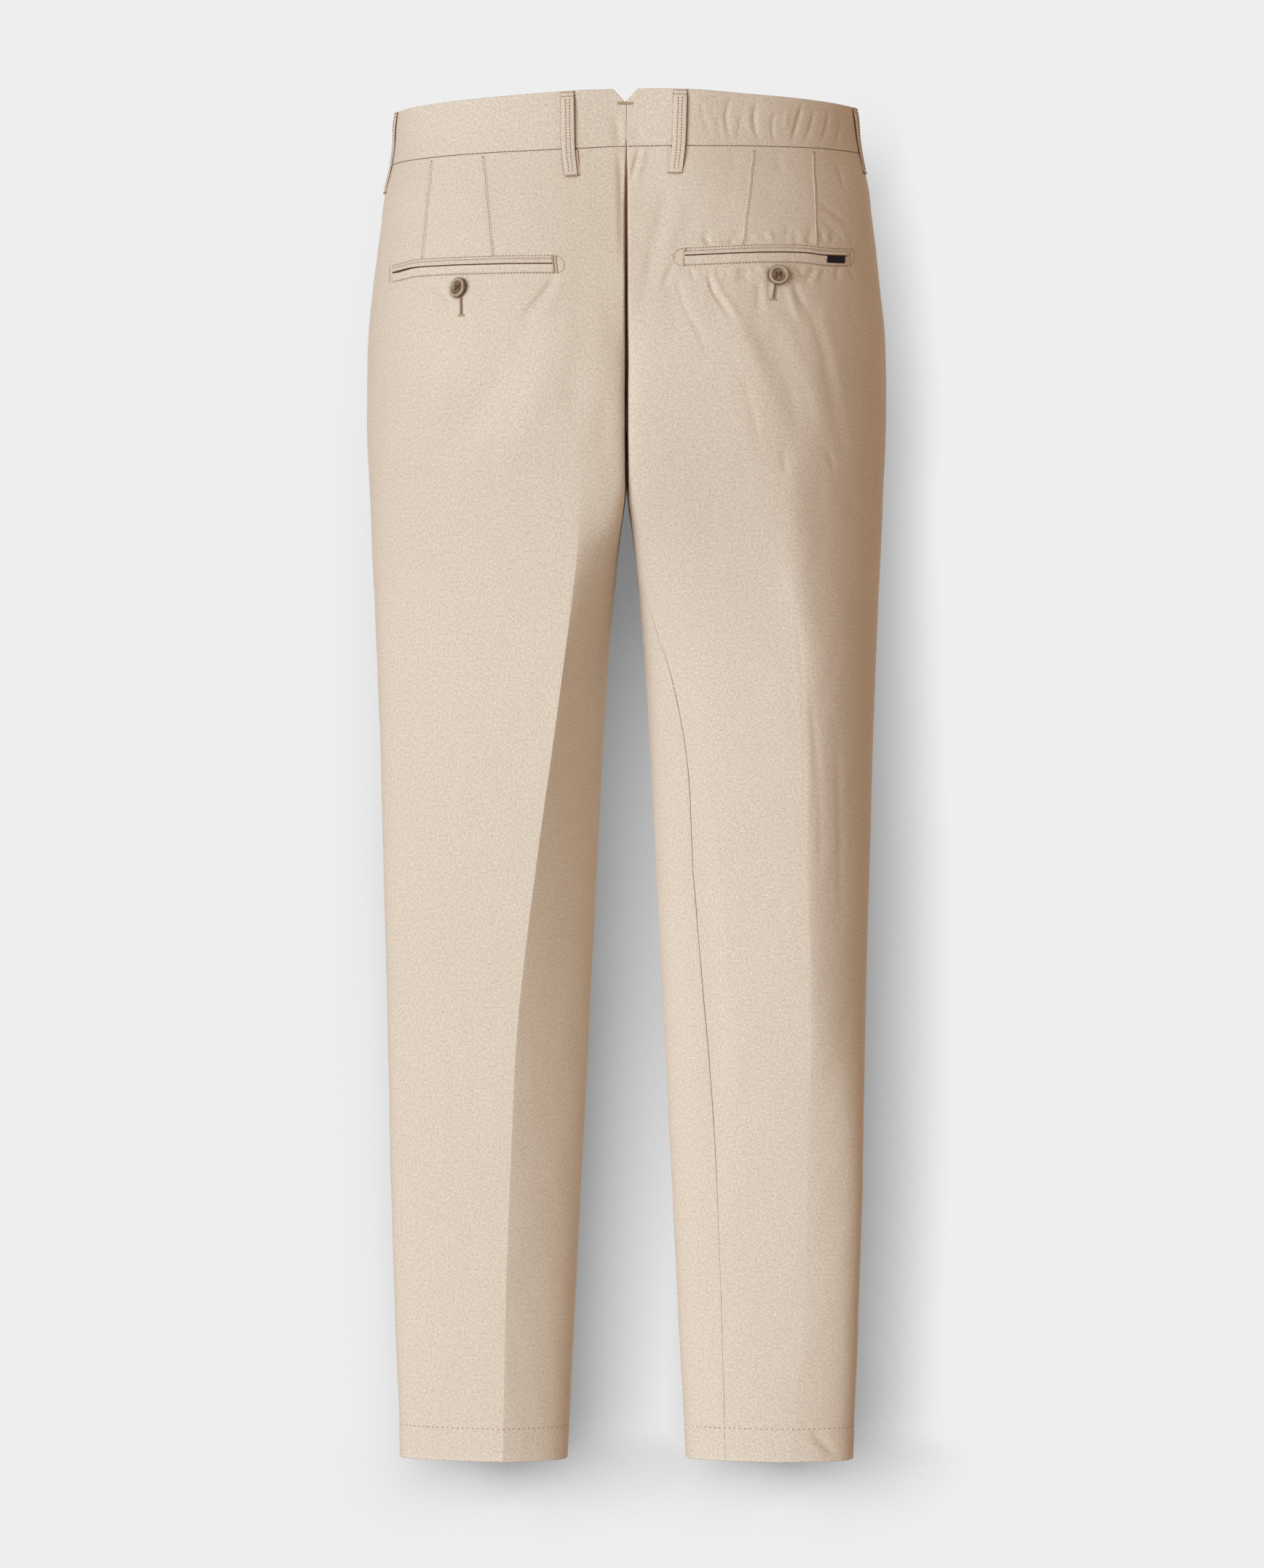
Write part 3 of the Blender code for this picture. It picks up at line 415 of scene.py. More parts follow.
# Each fold's depth (negative for a ridge), half width, how much steeper its first flank is, and its line
# as (x, level) points.
BACK_WRINKLES = (
    # Folds down the right seat from the button and the pocket.
    (0.9, 6.5, 0.2, ((113, -142), (117, -172), (124, -200), (130, -226), (140, -262))),
    (-0.8, 6.5, 0.0, ((120, -148), (131, -178), (140, -200), (148, -224), (156, -256))),
    (-1.0, 9.0, 0.0, ((79, -142), (88, -165), (101, -186), (112, -210), (121, -240), (125, -280))),
    (0.6, 8.0, 0.0, ((96, -150), (108, -178), (119, -210), (126, -244))),
    (0.8, 5.0, 0.2, ((136, -132), (147, -160), (156, -196), (164, -236), (172, -276))),
    (-0.6, 6.0, 0.0, ((148, -140), (160, -180), (168, -224))),
    (1.3, 2.4, 0.5, ((62, -114), (65.6, -131), (76, -148), (82, -160))),
    (-1.0, 3.2, 0.0, ((66, -116), (71, -132), (82, -148), (90, -164))),
    (0.8, 2.9, 0.2, ((38.3, -118), (44, -143), (56, -167), (64, -190))),
    (1.0, 2.4, 0.5, ((37.0, -108), (30, -124), (26.0, -134))),
    (0.6, 7.0, 0.0, ((31.0, -122), (38, -150), (41, -178))),
    (1.4, 2.1, 0.4, ((111.0, -110), (110.2, -125), (110.6, -136), (113.6, -148))),
    (1.0, 2.6, 0.3, ((102.4, -124), (100.6, -152))),
    (1.0, 2.1, 0.3, ((128, -122), (133, -136), (141, -150))),
    (-1.0, 2.4, 0.0, ((124, -128), (130, -146), (136, -160))),
    (1.0, 1.9, 0.2, ((132.6, -109), (136.9, -124))),
    (1.0, 1.9, 0.3, ((137, -123), (150, -111))),
    (1.0, 1.9, 0.2, ((148.5, -123), (156, -111))),
    (-0.8, 2.4, 0.0, ((141, -125), (153, -117))),
    (0.6, 1.9, 0.0, ((83.8, -127), (96.5, -114))),
    (0.7, 2.1, 0.2, ((156, -252), (161, -272))),
    (0.7, 2.4, 0.2, ((120, -252), (123, -276))),
    (0.6, 3.2, 0.0, ((88, -196), (97, -226), (104, -262))),
    # The soft pull from the right loop's foot to the centre back.
    (1.0, 5.0, 0.2, ((34, -46), (24, -84), (15, -128), (11, -160))),
    (-0.6, 6.0, 0.0, ((44, -60), (34, -96), (24, -136))),
    # Puckers above the right pocket and between its darts.
    (0.7, 2.4, 0.2, ((61.0, -98), (63.5, -84))),
    (0.8, 2.4, 0.2, ((78.5, -97), (91, -83))),
    (0.7, 2.0, 0.0, ((123.6, -98), (125.0, -78))),
    (0.8, 2.2, 0.2, ((132.7, -98), (130.2, -82))),
    (0.7, 2.0, 0.0, ((141.6, -97), (143.4, -80))),
    (0.7, 2.4, 0.3, ((157, -96), (163, -82))),
    # Under the right waistband.
    (0.8, 2.6, 0.4, ((146, -62), (162, -71), (178, -84))),
    (0.7, 2.2, 0.3, ((152, -76), (176, -95))),
    (0.7, 2.0, 0.2, ((164, -30), (171, -54))),
    (0.5, 2.6, 0.0, ((118, -26), (120, -44))),
    (0.4, 2.4, 0.0, ((84, -26), (83, -40))),
    # Drag lines of the left pocket's buttonhole, and the soft fold that runs out of it down the seat.
    (1.2, 2.4, 0.5, ((-155, -121), (-143, -134), (-132, -149))),
    (0.8, 3.2, 0.3, ((-100, -121), (-110, -136), (-122, -150))),
    (2.6, 3.6, 0.5, ((-54, -119), (-66, -137), (-84, -156))),
    (-0.9, 6.0, 0.0, ((-46, -122), (-58, -142), (-74, -164))),
    (3.0, 14.0, 0.2, ((-66, -138), (-88, -185), (-112, -225), (-146, -272))),
    (-1.0, 12.0, 0.0, ((-60, -185), (-78, -235), (-100, -290))),
    (0.9, 9.0, 0.0, ((-33.7, -145), (-39, -200), (-47, -256))),
    (0.6, 6.0, 0.0, ((-17, -215), (-19, -262))),
    # The tuck beside the centre back.
    (1.5, 2.2, 0.5, ((10.0, -20), (6.8, -32), (2.6, -48))),
    (-1.2, 3.0, 0.0, ((15.0, -20), (11.2, -33), (6.0, -52))),
    (1.7, 3.6, 0.3, ((-5.5, -17), (-4.5, -40), (-3.6, -75), (-3.2, -120))),
    # Legs: the crinkle along the right crease, and the hem's corner.
    (0.5, 3.2, 0.3, ((143, -430), (147, -500), (146, -560))),
    (-0.4, 4.0, 0.0, ((134, -400), (139, -470), (140, -540))),
    (0.45, 3.0, 0.2, ((164, -470), (167, -560), (166, -640))),
    (0.35, 2.4, 0.2, ((34, -458), (36.5, -482))),
    (0.35, 2.4, 0.2, ((41, -590), (38, -640))),
    (1.4, 3.0, 0.5, ((143, -1019), (154, -1030), (166, -1041))),
    (1.8, 11.0, -0.3, ((37, -400), (52, -520), (62, -610), (69, -700), (72, -800), (74, -920))),
    (-0.5, 4.0, 0.0, ((138, -1022), (150, -1036), (158, -1043))),
    (1.0, 22.0, 0.0, ((-170, -520), (-120, -560), (-96, -575))),
    (0.8, 26.0, 0.0, ((70, -560), (110, -600), (140, -610))),
    # Drag lines on the left leg's inner face, and soft streaks down the outer side of the right leg.
    (0.88, 1.8, 0.4, ((-61, -487), (-41, -469), (-21, -447))),
    (0.76, 1.6, 0.4, ((-56, -471), (-37, -450), (-18, -424))),
    (0.95, 1.9, 0.4, ((-65, -520), (-45, -506), (-23, -487))),
    (0.76, 2.0, 0.4, ((-72, -563), (-50, -548), (-26, -526))),
    (0.55, 3.4, 0.3, ((133, -372), (137, -430), (140, -500), (139, -560))),
    (0.45, 3.0, 0.3, ((146, -452), (151, -520), (150, -600))),
)
FRONT_WRINKLES = (
    # Front: whiskers from the crotch, soft folds at the knees and puckers by the fly.
    (1.8, 7.0, 0.3, ((14, -240), (45, -222), (84, -210))),
    (1.5, 7.0, 0.3, ((16, -262), (52, -252), (92, -250))),
    (1.7, 7.0, 0.3, ((-14, -236), (-47, -220), (-80, -206))),
    (1.4, 7.0, 0.3, ((-16, -260), (-50, -255), (-95, -247))),
    (-1.0, 8.0, 0.0, ((20, -228), (55, -208), (96, -192))),
    (-1.0, 8.0, 0.0, ((-20, -226), (-52, -205), (-92, -190))),
    (1.2, 9.0, 0.2, ((40, -545), (80, -560), (130, -552))),
    (1.0, 9.0, 0.2, ((-45, -556), (-88, -566), (-132, -560))),
    (0.8, 6.0, 0.0, ((30, -60), (34, -110), (44, -150))),
    (0.7, 6.0, 0.0, ((-44, -64), (-50, -112), (-60, -150))),
)
BAND_WRINKLES = (
    # Ripples of the waistband, most of them in its gathered right part.
    (0.6, 1.6, 0.3, ((57, 12), (60, 0), (66, -16))),
    (0.5, 1.2, 0.0, ((70, 2), (73, -18))),
    (0.9, 1.7, 0.4, ((80, 15), (77, 0), (81, -18))),
    (0.6, 1.3, 0.0, ((89, 4), (86, -18))),
    (1.0, 1.8, 0.3, ((101, 15), (99, -2), (103, -19))),
    (-0.4, 1.8, 0.0, ((94, 12), (95, -12))),
    (0.8, 1.3, 0.2, ((116, 8), (113, -4), (115, -19))),
    (1.2, 1.6, 0.5, ((137, 16), (132, -2), (127, -19))),
    (-0.5, 1.8, 0.0, ((126, 12), (122, -10))),
    (0.9, 1.4, 0.3, ((147, 12), (143, -4), (137, -19))),
    (1.0, 1.6, 0.4, ((158, 14), (156, -2), (150, -18))),
    (0.8, 1.4, 0.2, ((168, 8), (166, -6), (162, -19))),
    (1.2, 3.6, 0.3, ((-5.5, -22), (-6.5, -8), (-9, 6))),
    (0.7, 3.6, 0.3, ((12, -19), (7, -4))),
    (0.4, 7.0, 0.0, ((-92, -18), (-94, 10))),
    (0.4, 8.0, 0.0, ((-140, -18), (-138, 10))),
)
WRINKLES = {"back": BACK_WRINKLES, "front": FRONT_WRINKLES, "band": BAND_WRINKLES}
LINE_STEPS = 48

TROUGH_REACH = 3.0  # half widths from its line past which a fold isn't worked out
TAPER_START, TAPER_END = (3.2, 0.12), (2.2, 0.06)  # how fast a fold comes in at an end, and from what share
LEAN_SHARE = 0.6  # how much of a half width a lean of 1 moves from one flank to the other

CENTRE_CLEAR = 2.5
SIDE_BULGE, SIDE_BULGE_REACH, SIDE_BULGE_LEVEL = 3.6, 24, 4
SEAT_PUCKERS_DOWN_TO = -140.0
POCKET_PUCKER = {LEFT: 0.35, RIGHT: 1.5}
PUCKERS_ABOVE_SLIT, PUCKERS_BELOW_SLIT = 8.0, -9.5
POCKET_PUCKER_SEED, CRINKLE_SEED = 70, 11

# Fine crinkle all over the cloth: crossed waves of random direction, length and phase.
CRINKLE_WAVES, CRINKLE_HEIGHT = 26, 0.055
CRINKLE_SHORTEST, CRINKLE_LONGEST = 9.0, 70.0
CRINKLE_SPREAD, CRINKLE_GROWTH = 0.7, 0.8  # spread of directions, and how height grows with length


def smooth_line(points):
    """Samples and unit tangents along a smooth curve through points, cubic between them."""
    points = np.array(points, float)
    knots = distances(points)
    along = table(("level", "x", "z"), np.column_stack([knots, points])[::-1])
    steps = np.linspace(0, knots[-1], LINE_STEPS)
    samples = np.stack([read(along, "x", steps), read(along, "z", steps)], axis=1)
    tangents = np.gradient(samples, axis=0)
    return samples, unit(tangents)


def trough(x, level, depth, width, lean, line):
    """Depth of one fold: a bell across its line, one flank steeper, tapering towards its two ends."""
    samples, tangents = smooth_line(line)
    reach = TROUGH_REACH * width
    low, high = samples.min(axis=0) - reach, samples.max(axis=0) + reach
    near = (x > low[0]) & (x < high[0]) & (level > low[1]) & (level < high[1])
    result = np.zeros_like(x)
    if not near.any():
        return result
    px, pz = x[near][:, None], level[near][:, None]
    nearest = ((px - samples[:, 0]) ** 2 + (pz - samples[:, 1]) ** 2).argmin(axis=1)
    offset_x, offset_z = px[:, 0] - samples[nearest, 0], pz[:, 0] - samples[nearest, 1]
    tangent = tangents[nearest]
    across = offset_x * tangent[:, 1] - offset_z * tangent[:, 0]
    past = offset_x * tangent[:, 0] + offset_z * tangent[:, 1]
    share = nearest / (LINE_STEPS - 1)
    taper = ease(share * TAPER_START[0] + TAPER_START[1]) * ease((1 - share) * TAPER_END[0] + TAPER_END[1])
    flank = width * np.where(across > 0, 1 - LEAN_SHARE * lean, 1 + LEAN_SHARE * lean)
    result[near] = depth * taper * np.exp(
        -((across / flank) ** 2) - (np.maximum(np.abs(past) - 1, 0) / width) ** 2
    )
    return result


def crinkle(run, level, seed):
    """The sum of many faint waves, each with its own direction, length and phase."""
    random = np.random.default_rng(seed)
    total = np.zeros_like(run)
    for _ in range(CRINKLE_WAVES):
        length = CRINKLE_SHORTEST * (CRINKLE_LONGEST / CRINKLE_SHORTEST) ** random.random()
        turn = random.normal(math.pi / 2, CRINKLE_SPREAD)
        phase = random.random() * 2 * math.pi
        wave = np.sin((run * math.sin(turn) + level * math.cos(turn)) * 2 * math.pi / length + phase)
        total += wave * (length / CRINKLE_LONGEST) ** CRINKLE_GROWTH
    return CRINKLE_HEIGHT * total


def side_bulge(half, run, level):
    """The waist's fullness at the side, under the belt loop."""
    away = run - side_run(half, level)
    above = level - SIDE_BULGE_LEVEL
    return SIDE_BULGE * np.exp(-((away / SIDE_BULGE_REACH) ** 2) - (above / SIDE_BULGE_REACH) ** 2)


def pocket_puckers(half, x, level):
    """Short uneven wrinkles that leave the pocket's stitches upwards and downwards."""
    random = np.random.default_rng(POCKET_PUCKER_SEED + half)
    total = np.zeros_like(x)
    x_in, x_out = POCKET_X[half]
    for upwards in (False, True):
        place = x_in
        while place < x_out:
            place += random.uniform(3.0, 8.0)
            share = (place - x_in) / (x_out - x_in)
            start = POCKET_LEVEL[half][0] + (POCKET_LEVEL[half][1] - POCKET_LEVEL[half][0]) * share
            start += PUCKERS_ABOVE_SLIT if upwards else PUCKERS_BELOW_SLIT
            length = random.uniform(5, 16) * (0.7 if upwards else 1.0)
            lean = random.uniform(-0.7, 0.7)
            depth = random.uniform(-0.4, 0.9) * POCKET_PUCKER[half]
            away = place + lean * length
            end = start + (length if upwards else -length)
            line = ((half * place, start), (half * away, end))
            total += trough(x, level, depth, random.uniform(1.2, 2.4), random.uniform(-0.3, 0.4), line)
    return total


def relief(half, run, level, points):
    """Height of the small folds over the cloth's form at points, out along the normal."""
    x, y = points[..., 0], points[..., 1]
    height = crinkle(run - crease_run(half, level), level, CRINKLE_SEED + half)
    height += side_bulge(half, run, level)
    faces = {
        "band": (y < 0) & (level > WAIST_SEAM),
        "back": (y < 0) & (level <= WAIST_SEAM),
        "front": (y >= 0) & (level <= WAIST_SEAM),
    }
    for face, here in faces.items():
        for depth, width, lean, line in WRINKLES[face]:
            if half * line[0][0] >= 0 and here.any():
                height[here] -= trough(x[here], level[here], depth, width, lean, line)
    # The halves meet at the centre plane, so the folds end just before it.
    height *= np.where(level > CROTCH, ease(np.abs(x) / CENTRE_CLEAR), 1.0)
    seat = faces["back"] & (level > SEAT_PUCKERS_DOWN_TO)
    if seat.any():
        height[seat] -= pocket_puckers(half, x[seat], level[seat])
    return height


def skin(half, run, level, out=0.0):
    """Points of the cloth's surface with its small folds, a distance out from it."""
    run, level = np.broadcast_arrays(np.asarray(run, float), np.asarray(level, float))
    points = cloth(half, run, level)
    height = relief(half, run, level, points) + out
    return points + cloth_normals(half, run, level) * height[..., None]


# ---------- Meshes ----------


def crowded(count, start=0.0, end=0.0, cells=7.0):
    """count + 1 shares from 0 to 1 whose steps shrink over a few cells at the start and the end."""
    i = np.arange(count)
    steps = 1 - start * np.exp(-i / cells) - end * np.exp(-(count - 1 - i) / cells)
    shares = np.concatenate([[0], np.cumsum(steps)])
    return shares / shares[-1]


def rounded(distance, radius):
    """How far a rounded edge has dropped at a distance from its end: a quarter of a circle."""
    t = np.clip(1 - distance / radius, 0, 1)
    return radius * (1 - np.sqrt(1 - t**2))


def boundary(rows, columns):
    """Indices round a grid, anticlockwise from its first corner."""
    index = np.arange(rows * columns).reshape(rows, columns)
    return np.concatenate([index[0, :-1], index[:-1, -1], index[-1, :0:-1], index[:0:-1, 0]])


def grid_faces(rows, columns):
    """The four corners of each cell of a grid of points."""
    index = np.arange(rows * columns).reshape(rows, columns)
    return np.stack(
        [index[:-1, :-1], index[:-1, 1:], index[1:, 1:], index[1:, :-1]], axis=-1
    ).reshape(-1, 4)


def build(name, points, faces, material, uv=None, wear_and_highlight=None):
    """A mesh object from points in millimetres and a list of face arrays, with UV and a paling share for each
    point: worn paler cloth, and a painted highlight on a button's rim.
    """
    loops = np.concatenate([part.ravel() for part in faces])
    sizes = np.concatenate([np.full(len(part), part.shape[1]) for part in faces])
    starts = np.concatenate([[0], np.cumsum(sizes)[:-1]])
    mesh = bpy.data.meshes.new(name)
    mesh.vertices.add(len(points))
    mesh.vertices.foreach_set("co", (points * MM).astype(np.float32).ravel())
    mesh.loops.add(len(loops))
    mesh.loops.foreach_set("vertex_index", loops.astype(np.int32))
    mesh.polygons.add(len(sizes))
    mesh.polygons.foreach_set("loop_start", starts.astype(np.int32))
    mesh.update(calc_edges=True)
    if uv is not None:
        layer = mesh.uv_layers.new(name="UVMap")
        layer.data.foreach_set("uv", (uv[loops] * MM).astype(np.float32).ravel())
    attribute = mesh.attributes.new("wear_and_highlight", "FLOAT", "POINT")
    attribute.data.foreach_set(
        "value", np.zeros(len(points), np.float32) if wear_and_highlight is None else wear_and_highlight.astype(np.float32)
    )
    mesh.materials.append(material)
    mesh.shade_smooth()
    made = bpy.data.objects.new(name, mesh)
    bpy.context.scene.collection.objects.link(made)
    return made


def shell(name, outside, inside, uv, material, wear_and_highlight=None, step=1):
    """A closed sheet: a fine outside grid, an inside grid of every step-th point, and a rim of triangles."""
    rows, columns = outside.shape[:2]
    fine, coarse = outside.reshape(-1, 3), inside[::step, ::step]
    small_rows, small_columns = coarse.shape[:2]
    count = rows * columns
    outer_ring = boundary(rows, columns)
    inner_ring = boundary(small_rows, small_columns) + count
    faces = [grid_faces(rows, columns), grid_faces(small_rows, small_columns)[:, ::-1] + count]
    segments = len(inner_ring)
    here, after = inner_ring, np.roll(inner_ring, -1)
    for k in range(step):
        first = outer_ring[np.arange(segments) * step + k]
        second = outer_ring[(np.arange(segments) * step + k + 1) % len(outer_ring)]
        apex = here if k < (step + 1) // 2 else after
        faces.append(np.stack([second, first, apex], axis=1))
    middle = outer_ring[(np.arange(segments) * step + (step + 1) // 2) % len(outer_ring)]
    faces.append(np.stack([middle, here, after], axis=1))
    turn = np.cross(outside[0, 1] - outside[0, 0], outside[1, 0] - outside[0, 0])
    if np.dot(turn, outside[0, 0] - inside[0, 0]) < 0:
        faces = [part[:, ::-1] for part in faces]
    points = np.concatenate([fine, coarse.reshape(-1, 3)])
    flat_uv = np.concatenate([uv.reshape(-1, 2), uv[::step, ::step].reshape(-1, 2)])
    worn = np.zeros((rows, columns)) if wear_and_highlight is None else wear_and_highlight
    worn = np.concatenate([worn.ravel(), worn[::step, ::step].ravel()])
    return build(name, points, faces, material, flat_uv, worn)


def normals_of(surface, u, v):
    """Unit normals of a surface given as a function of two numbers: the cross product of its two slopes."""
    along = surface(u + SURFACE_SLOPE, v) - surface(u - SURFACE_SLOPE, v)
    up = surface(u, v + SURFACE_SLOPE) - surface(u, v - SURFACE_SLOPE)
    return unit(np.cross(along, up))


STITCH_SHAPE = (0.0, 0.18, 0.5, 0.82, 1.0)  # where a thread's rings lie along it
THREAD_THICKNESS = (0.75, 1, 1.05, 1, 0.75)
THREAD_SIDES = 5
THREAD_ARCH, THREAD_SUNK = 0.6, 0.35  # how squarely it arches, and how deep it lies, in radii
LEG_MIDDLE, SEAT_MIDDLE = 105, 90  # the middle lines that cloth faces away from, from the centre plane


def threads(name, groups, material):
    """Many short threads as one mesh.

    Each group is a surface, arrays of start and end places on it, the thread's radius and how high it
    rises. A thread is a five-sided tube that comes out of the cloth, runs over it and goes back in.
    """
    points, faces, total = [], [], 0
    rings = len(STITCH_SHAPE)
    share = np.array(STITCH_SHAPE)
    angle = np.arange(THREAD_SIDES) * 2 * math.pi / THREAD_SIDES
    ring = np.arange(THREAD_SIDES)
    after = np.roll(ring, -1)
    for surface, starts, ends, radius, rise in groups:
        starts, ends = np.atleast_2d(starts), np.atleast_2d(ends)
        places = starts[:, None] + (ends - starts)[:, None] * share[None, :, None]
        middle = surface(places[..., 0], places[..., 1])
        normal = normals_of(surface, places[..., 0], places[..., 1])
        outward = np.sign(np.einsum("ijk,ijk->ij", normal, surface_outward(surface, places)))[..., None]
        normal = normal * outward
        height = rise * np.sin(np.pi * share) ** THREAD_ARCH - THREAD_SUNK * radius
        middle = middle + normal * height[None, :, None]
        tangent = np.gradient(middle, axis=1)
        side = np.cross(tangent, normal)
        side /= np.maximum(np.linalg.norm(side, axis=-1, keepdims=True), 1e-9)
        thick = radius * np.array(THREAD_THICKNESS)[None, :, None, None]
        sideways = side[:, :, None] * np.cos(angle)[None, None, :, None]
        upwards = normal[:, :, None] * np.sin(angle)[None, None, :, None]
        tube = middle[:, :, None] + thick * (sideways + upwards)
        count = len(starts)
        per = rings * THREAD_SIDES
        base = total + np.arange(count)[:, None] * per
        points.append(tube.reshape(-1, 3))
        for k in range(rings - 1):
            quad = np.stack(
                [
                    ring + k * THREAD_SIDES,
                    after + k * THREAD_SIDES,
                    after + (k + 1) * THREAD_SIDES,
                    ring + (k + 1) * THREAD_SIDES,
                ],
                axis=1,
            )
            faces.append((base[:, :, None] + quad[None]).reshape(-1, 4))
        caps = np.stack([ring[::-1], ring + (rings - 1) * THREAD_SIDES])
        faces.append((base[:, :, None] + caps[None]).reshape(-1, THREAD_SIDES))
        total += count * per
    made = build(name, np.concatenate(points), faces, material)
    turn_outwards(made)
    return made


def surface_outward(surface, places):
    """A rough outward direction: away from the garment's or the leg's middle line."""
    points = surface(places[..., 0], places[..., 1])
    axis = np.zeros_like(points)
    legs = points[..., 2] < CROTCH
    seat = np.clip(points[..., 0], -SEAT_MIDDLE, SEAT_MIDDLE)
    axis[..., 0] = np.where(legs, np.sign(points[..., 0]) * LEG_MIDDLE, seat)
    axis[..., 2] = points[..., 2]
    return points - axis


def turn_outwards(made):
    """Recalculates a closed mesh's normals so that they point out."""
    mesh = bmesh.new()
    mesh.from_mesh(made.data)
    bmesh.ops.recalc_face_normals(mesh, faces=mesh.faces)
    mesh.to_mesh(made.data)
    mesh.free()


def running(surface, path, pitch=2.7, gap=0.75, radius=0.25, rise=0.24):
    """Running stitches along a path of places, as a group for threads()."""
    path = np.array(path, float)
    dense = np.linspace(0, 1, 400)
    knots = np.linspace(0, 1, len(path))
    places = np.stack([np.interp(dense, knots, path[:, 0]), np.interp(dense, knots, path[:, 1])], axis=1)
    points = surface(places[:, 0], places[:, 1])
    length = distances(points)
    count = max(1, int(round(length[-1] / pitch)))
    marks = np.linspace(0, length[-1], count + 1)
    first, last = marks[:-1] + gap / 2, marks[1:] - gap / 2
    starts = np.stack([np.interp(first, length, places[:, i]) for i in (0, 1)], axis=1)
    ends = np.stack([np.interp(last, length, places[:, i]) for i in (0, 1)], axis=1)
    return surface, starts, ends, radius, rise


def satin(surface, path, width, pitch=0.5, radius=0.24, rise=0.42):
    """Close threads laid across a path, as a bar tack or a buttonhole's edge, as a group for threads()."""
    path = np.array(path, float)
    step = path[-1] - path[0]
    length = np.linalg.norm(step)
    across = np.array([-step[1], step[0]]) / length * width / 2
    count = max(2, int(round(length / pitch)))
    centres = path[0] + step * np.linspace(0, 1, count)[:, None]
    slant = step / length * pitch * 0.3
    return surface, centres - across - slant, centres + across + slant, radius, rise


# ---------- Materials ----------

TWILL_PITCH_M = 0.0013
TWILL_SLOPE = math.radians(51)
RIB_WANDER = 2.6  # radians by which a rib strays from its line
FLOATS_A_PITCH, FLOAT_STAGGER = 1.4, 0.5  # floats along a rib for each pitch, and their shift at the next rib
FLOAT_RELIEF, FIBRE_RELIEF = 0.35, 0.25  # shares of a rib's height
FULL_TURN = 2 * math.pi

# How closely each noise is spaced.
WANDER_SCALE, FIBRE_SCALE, SLUB_SCALE = 420.0, 1900.0, 520.0
BROAD_TONE_SCALE, FINE_TONE_SCALE = 7.0, 70.0
TWIST_SCALE, THREAD_TONE_SCALE = 2600.0, 180.0
HORN_CLOUD_SCALE, HORN_STREAK_SCALE = 150.0, 620.0

# Painted shade: where nearby cloth or horn shuts out the light, colours are darkened and warmed towards this
# tint.
CREVICE_TINT = (0.38, 0.21, 0.12)
CREVICE_FROM, CREVICE_TO = 0.35, 0.92  # openness at which a crevice is darkest, and at which it's clear
CLOTH_CREVICE_M, HORN_CREVICE_M = 0.003, 0.0022
CREVICE_SAMPLES, SHADE_SAMPLES = 6, 12


class Nodes:
    """A short way to add and join nodes in a tree."""

    def __init__(self, tree):
        self.tree = tree

    def add(self, kind, presets=None, **properties):
        """A node with its properties, and the values of its inputs that nothing is joined to."""
        node = self.tree.nodes.new(kind)
        for key, value in properties.items():
            setattr(node, key, value)
        for socket, value in (presets or {}).items():
            node.inputs[socket].default_value = value
        return node

    def join(self, source, target):
        """Joins an output to an input."""
        self.tree.links.new(source, target)

    def maths(self, operation, first, second=None):
        """A Math node on sockets or numbers, and its output."""
        node = self.tree.nodes.new("ShaderNodeMath")
        node.operation = operation
        for socket, value in zip(node.inputs, (first, second)):
            if isinstance(value, bpy.types.NodeSocket):
                self.join(value, socket)
            elif value is not None:
                socket.default_value = value
        return node.outputs[0]

    def times(self, first, second):
        """The product of two sockets or numbers."""
        return self.maths("MULTIPLY", first, second)

    def scale_add(self, value, factor, offset):
        """A value times a factor, plus an offset."""
        return self.maths("ADD", self.times(value, factor), offset)

    def noise(self, vector, scale, detail=2.0, roughness=0.5, distortion=0.0):
        """Cloudy noise from 0 to 1, about one half on average."""
        presets = {"Scale": scale, "Detail": detail, "Roughness": roughness, "Distortion": distortion}
        node = self.add("ShaderNodeTexNoise", presets, noise_dimensions="3D")
        self.join(vector, node.inputs["Vector"])
        return node.outputs["Fac"]

    def raise_surface(self, shader, height, strength, distance):
        """Bumps a shader's surface by a height of up to a distance in metres."""
        raised = self.add("ShaderNodeBump", {"Strength": strength, "Distance": distance})
        self.join(height, raised.inputs["Height"])
        self.join(raised.outputs[0], shader.inputs["Normal"])

    def mix(self, factor, first, second, blend="MIX"):
        """A colour Mix node on sockets or colours, and its output."""
        node = self.add("ShaderNodeMix", data_type="RGBA", blend_type=blend)
        for socket, value in zip((node.inputs[0], node.inputs[6], node.inputs[7]), (factor, first, second)):
            if isinstance(value, bpy.types.NodeSocket):
                self.join(value, socket)
            elif isinstance(value, tuple):
                socket.default_value = (*value, 1)
            else:
                socket.default_value = value
        return node.outputs[2]


def new_group(name, inputs, outputs):
    """An empty shader group with named sockets: inputs as (name, socket type, default)."""
    group = bpy.data.node_groups.new(name, "ShaderNodeTree")
    for socket_name, kind, default in inputs:
        socket = group.interface.new_socket(socket_name, in_out="INPUT", socket_type=kind)
        if default is not None:
            socket.default_value = default
    for socket_name, kind in outputs:
        group.interface.new_socket(socket_name, in_out="OUTPUT", socket_type=kind)
    nodes = Nodes(group)
    return group, nodes, nodes.add("NodeGroupInput"), nodes.add("NodeGroupOutput")


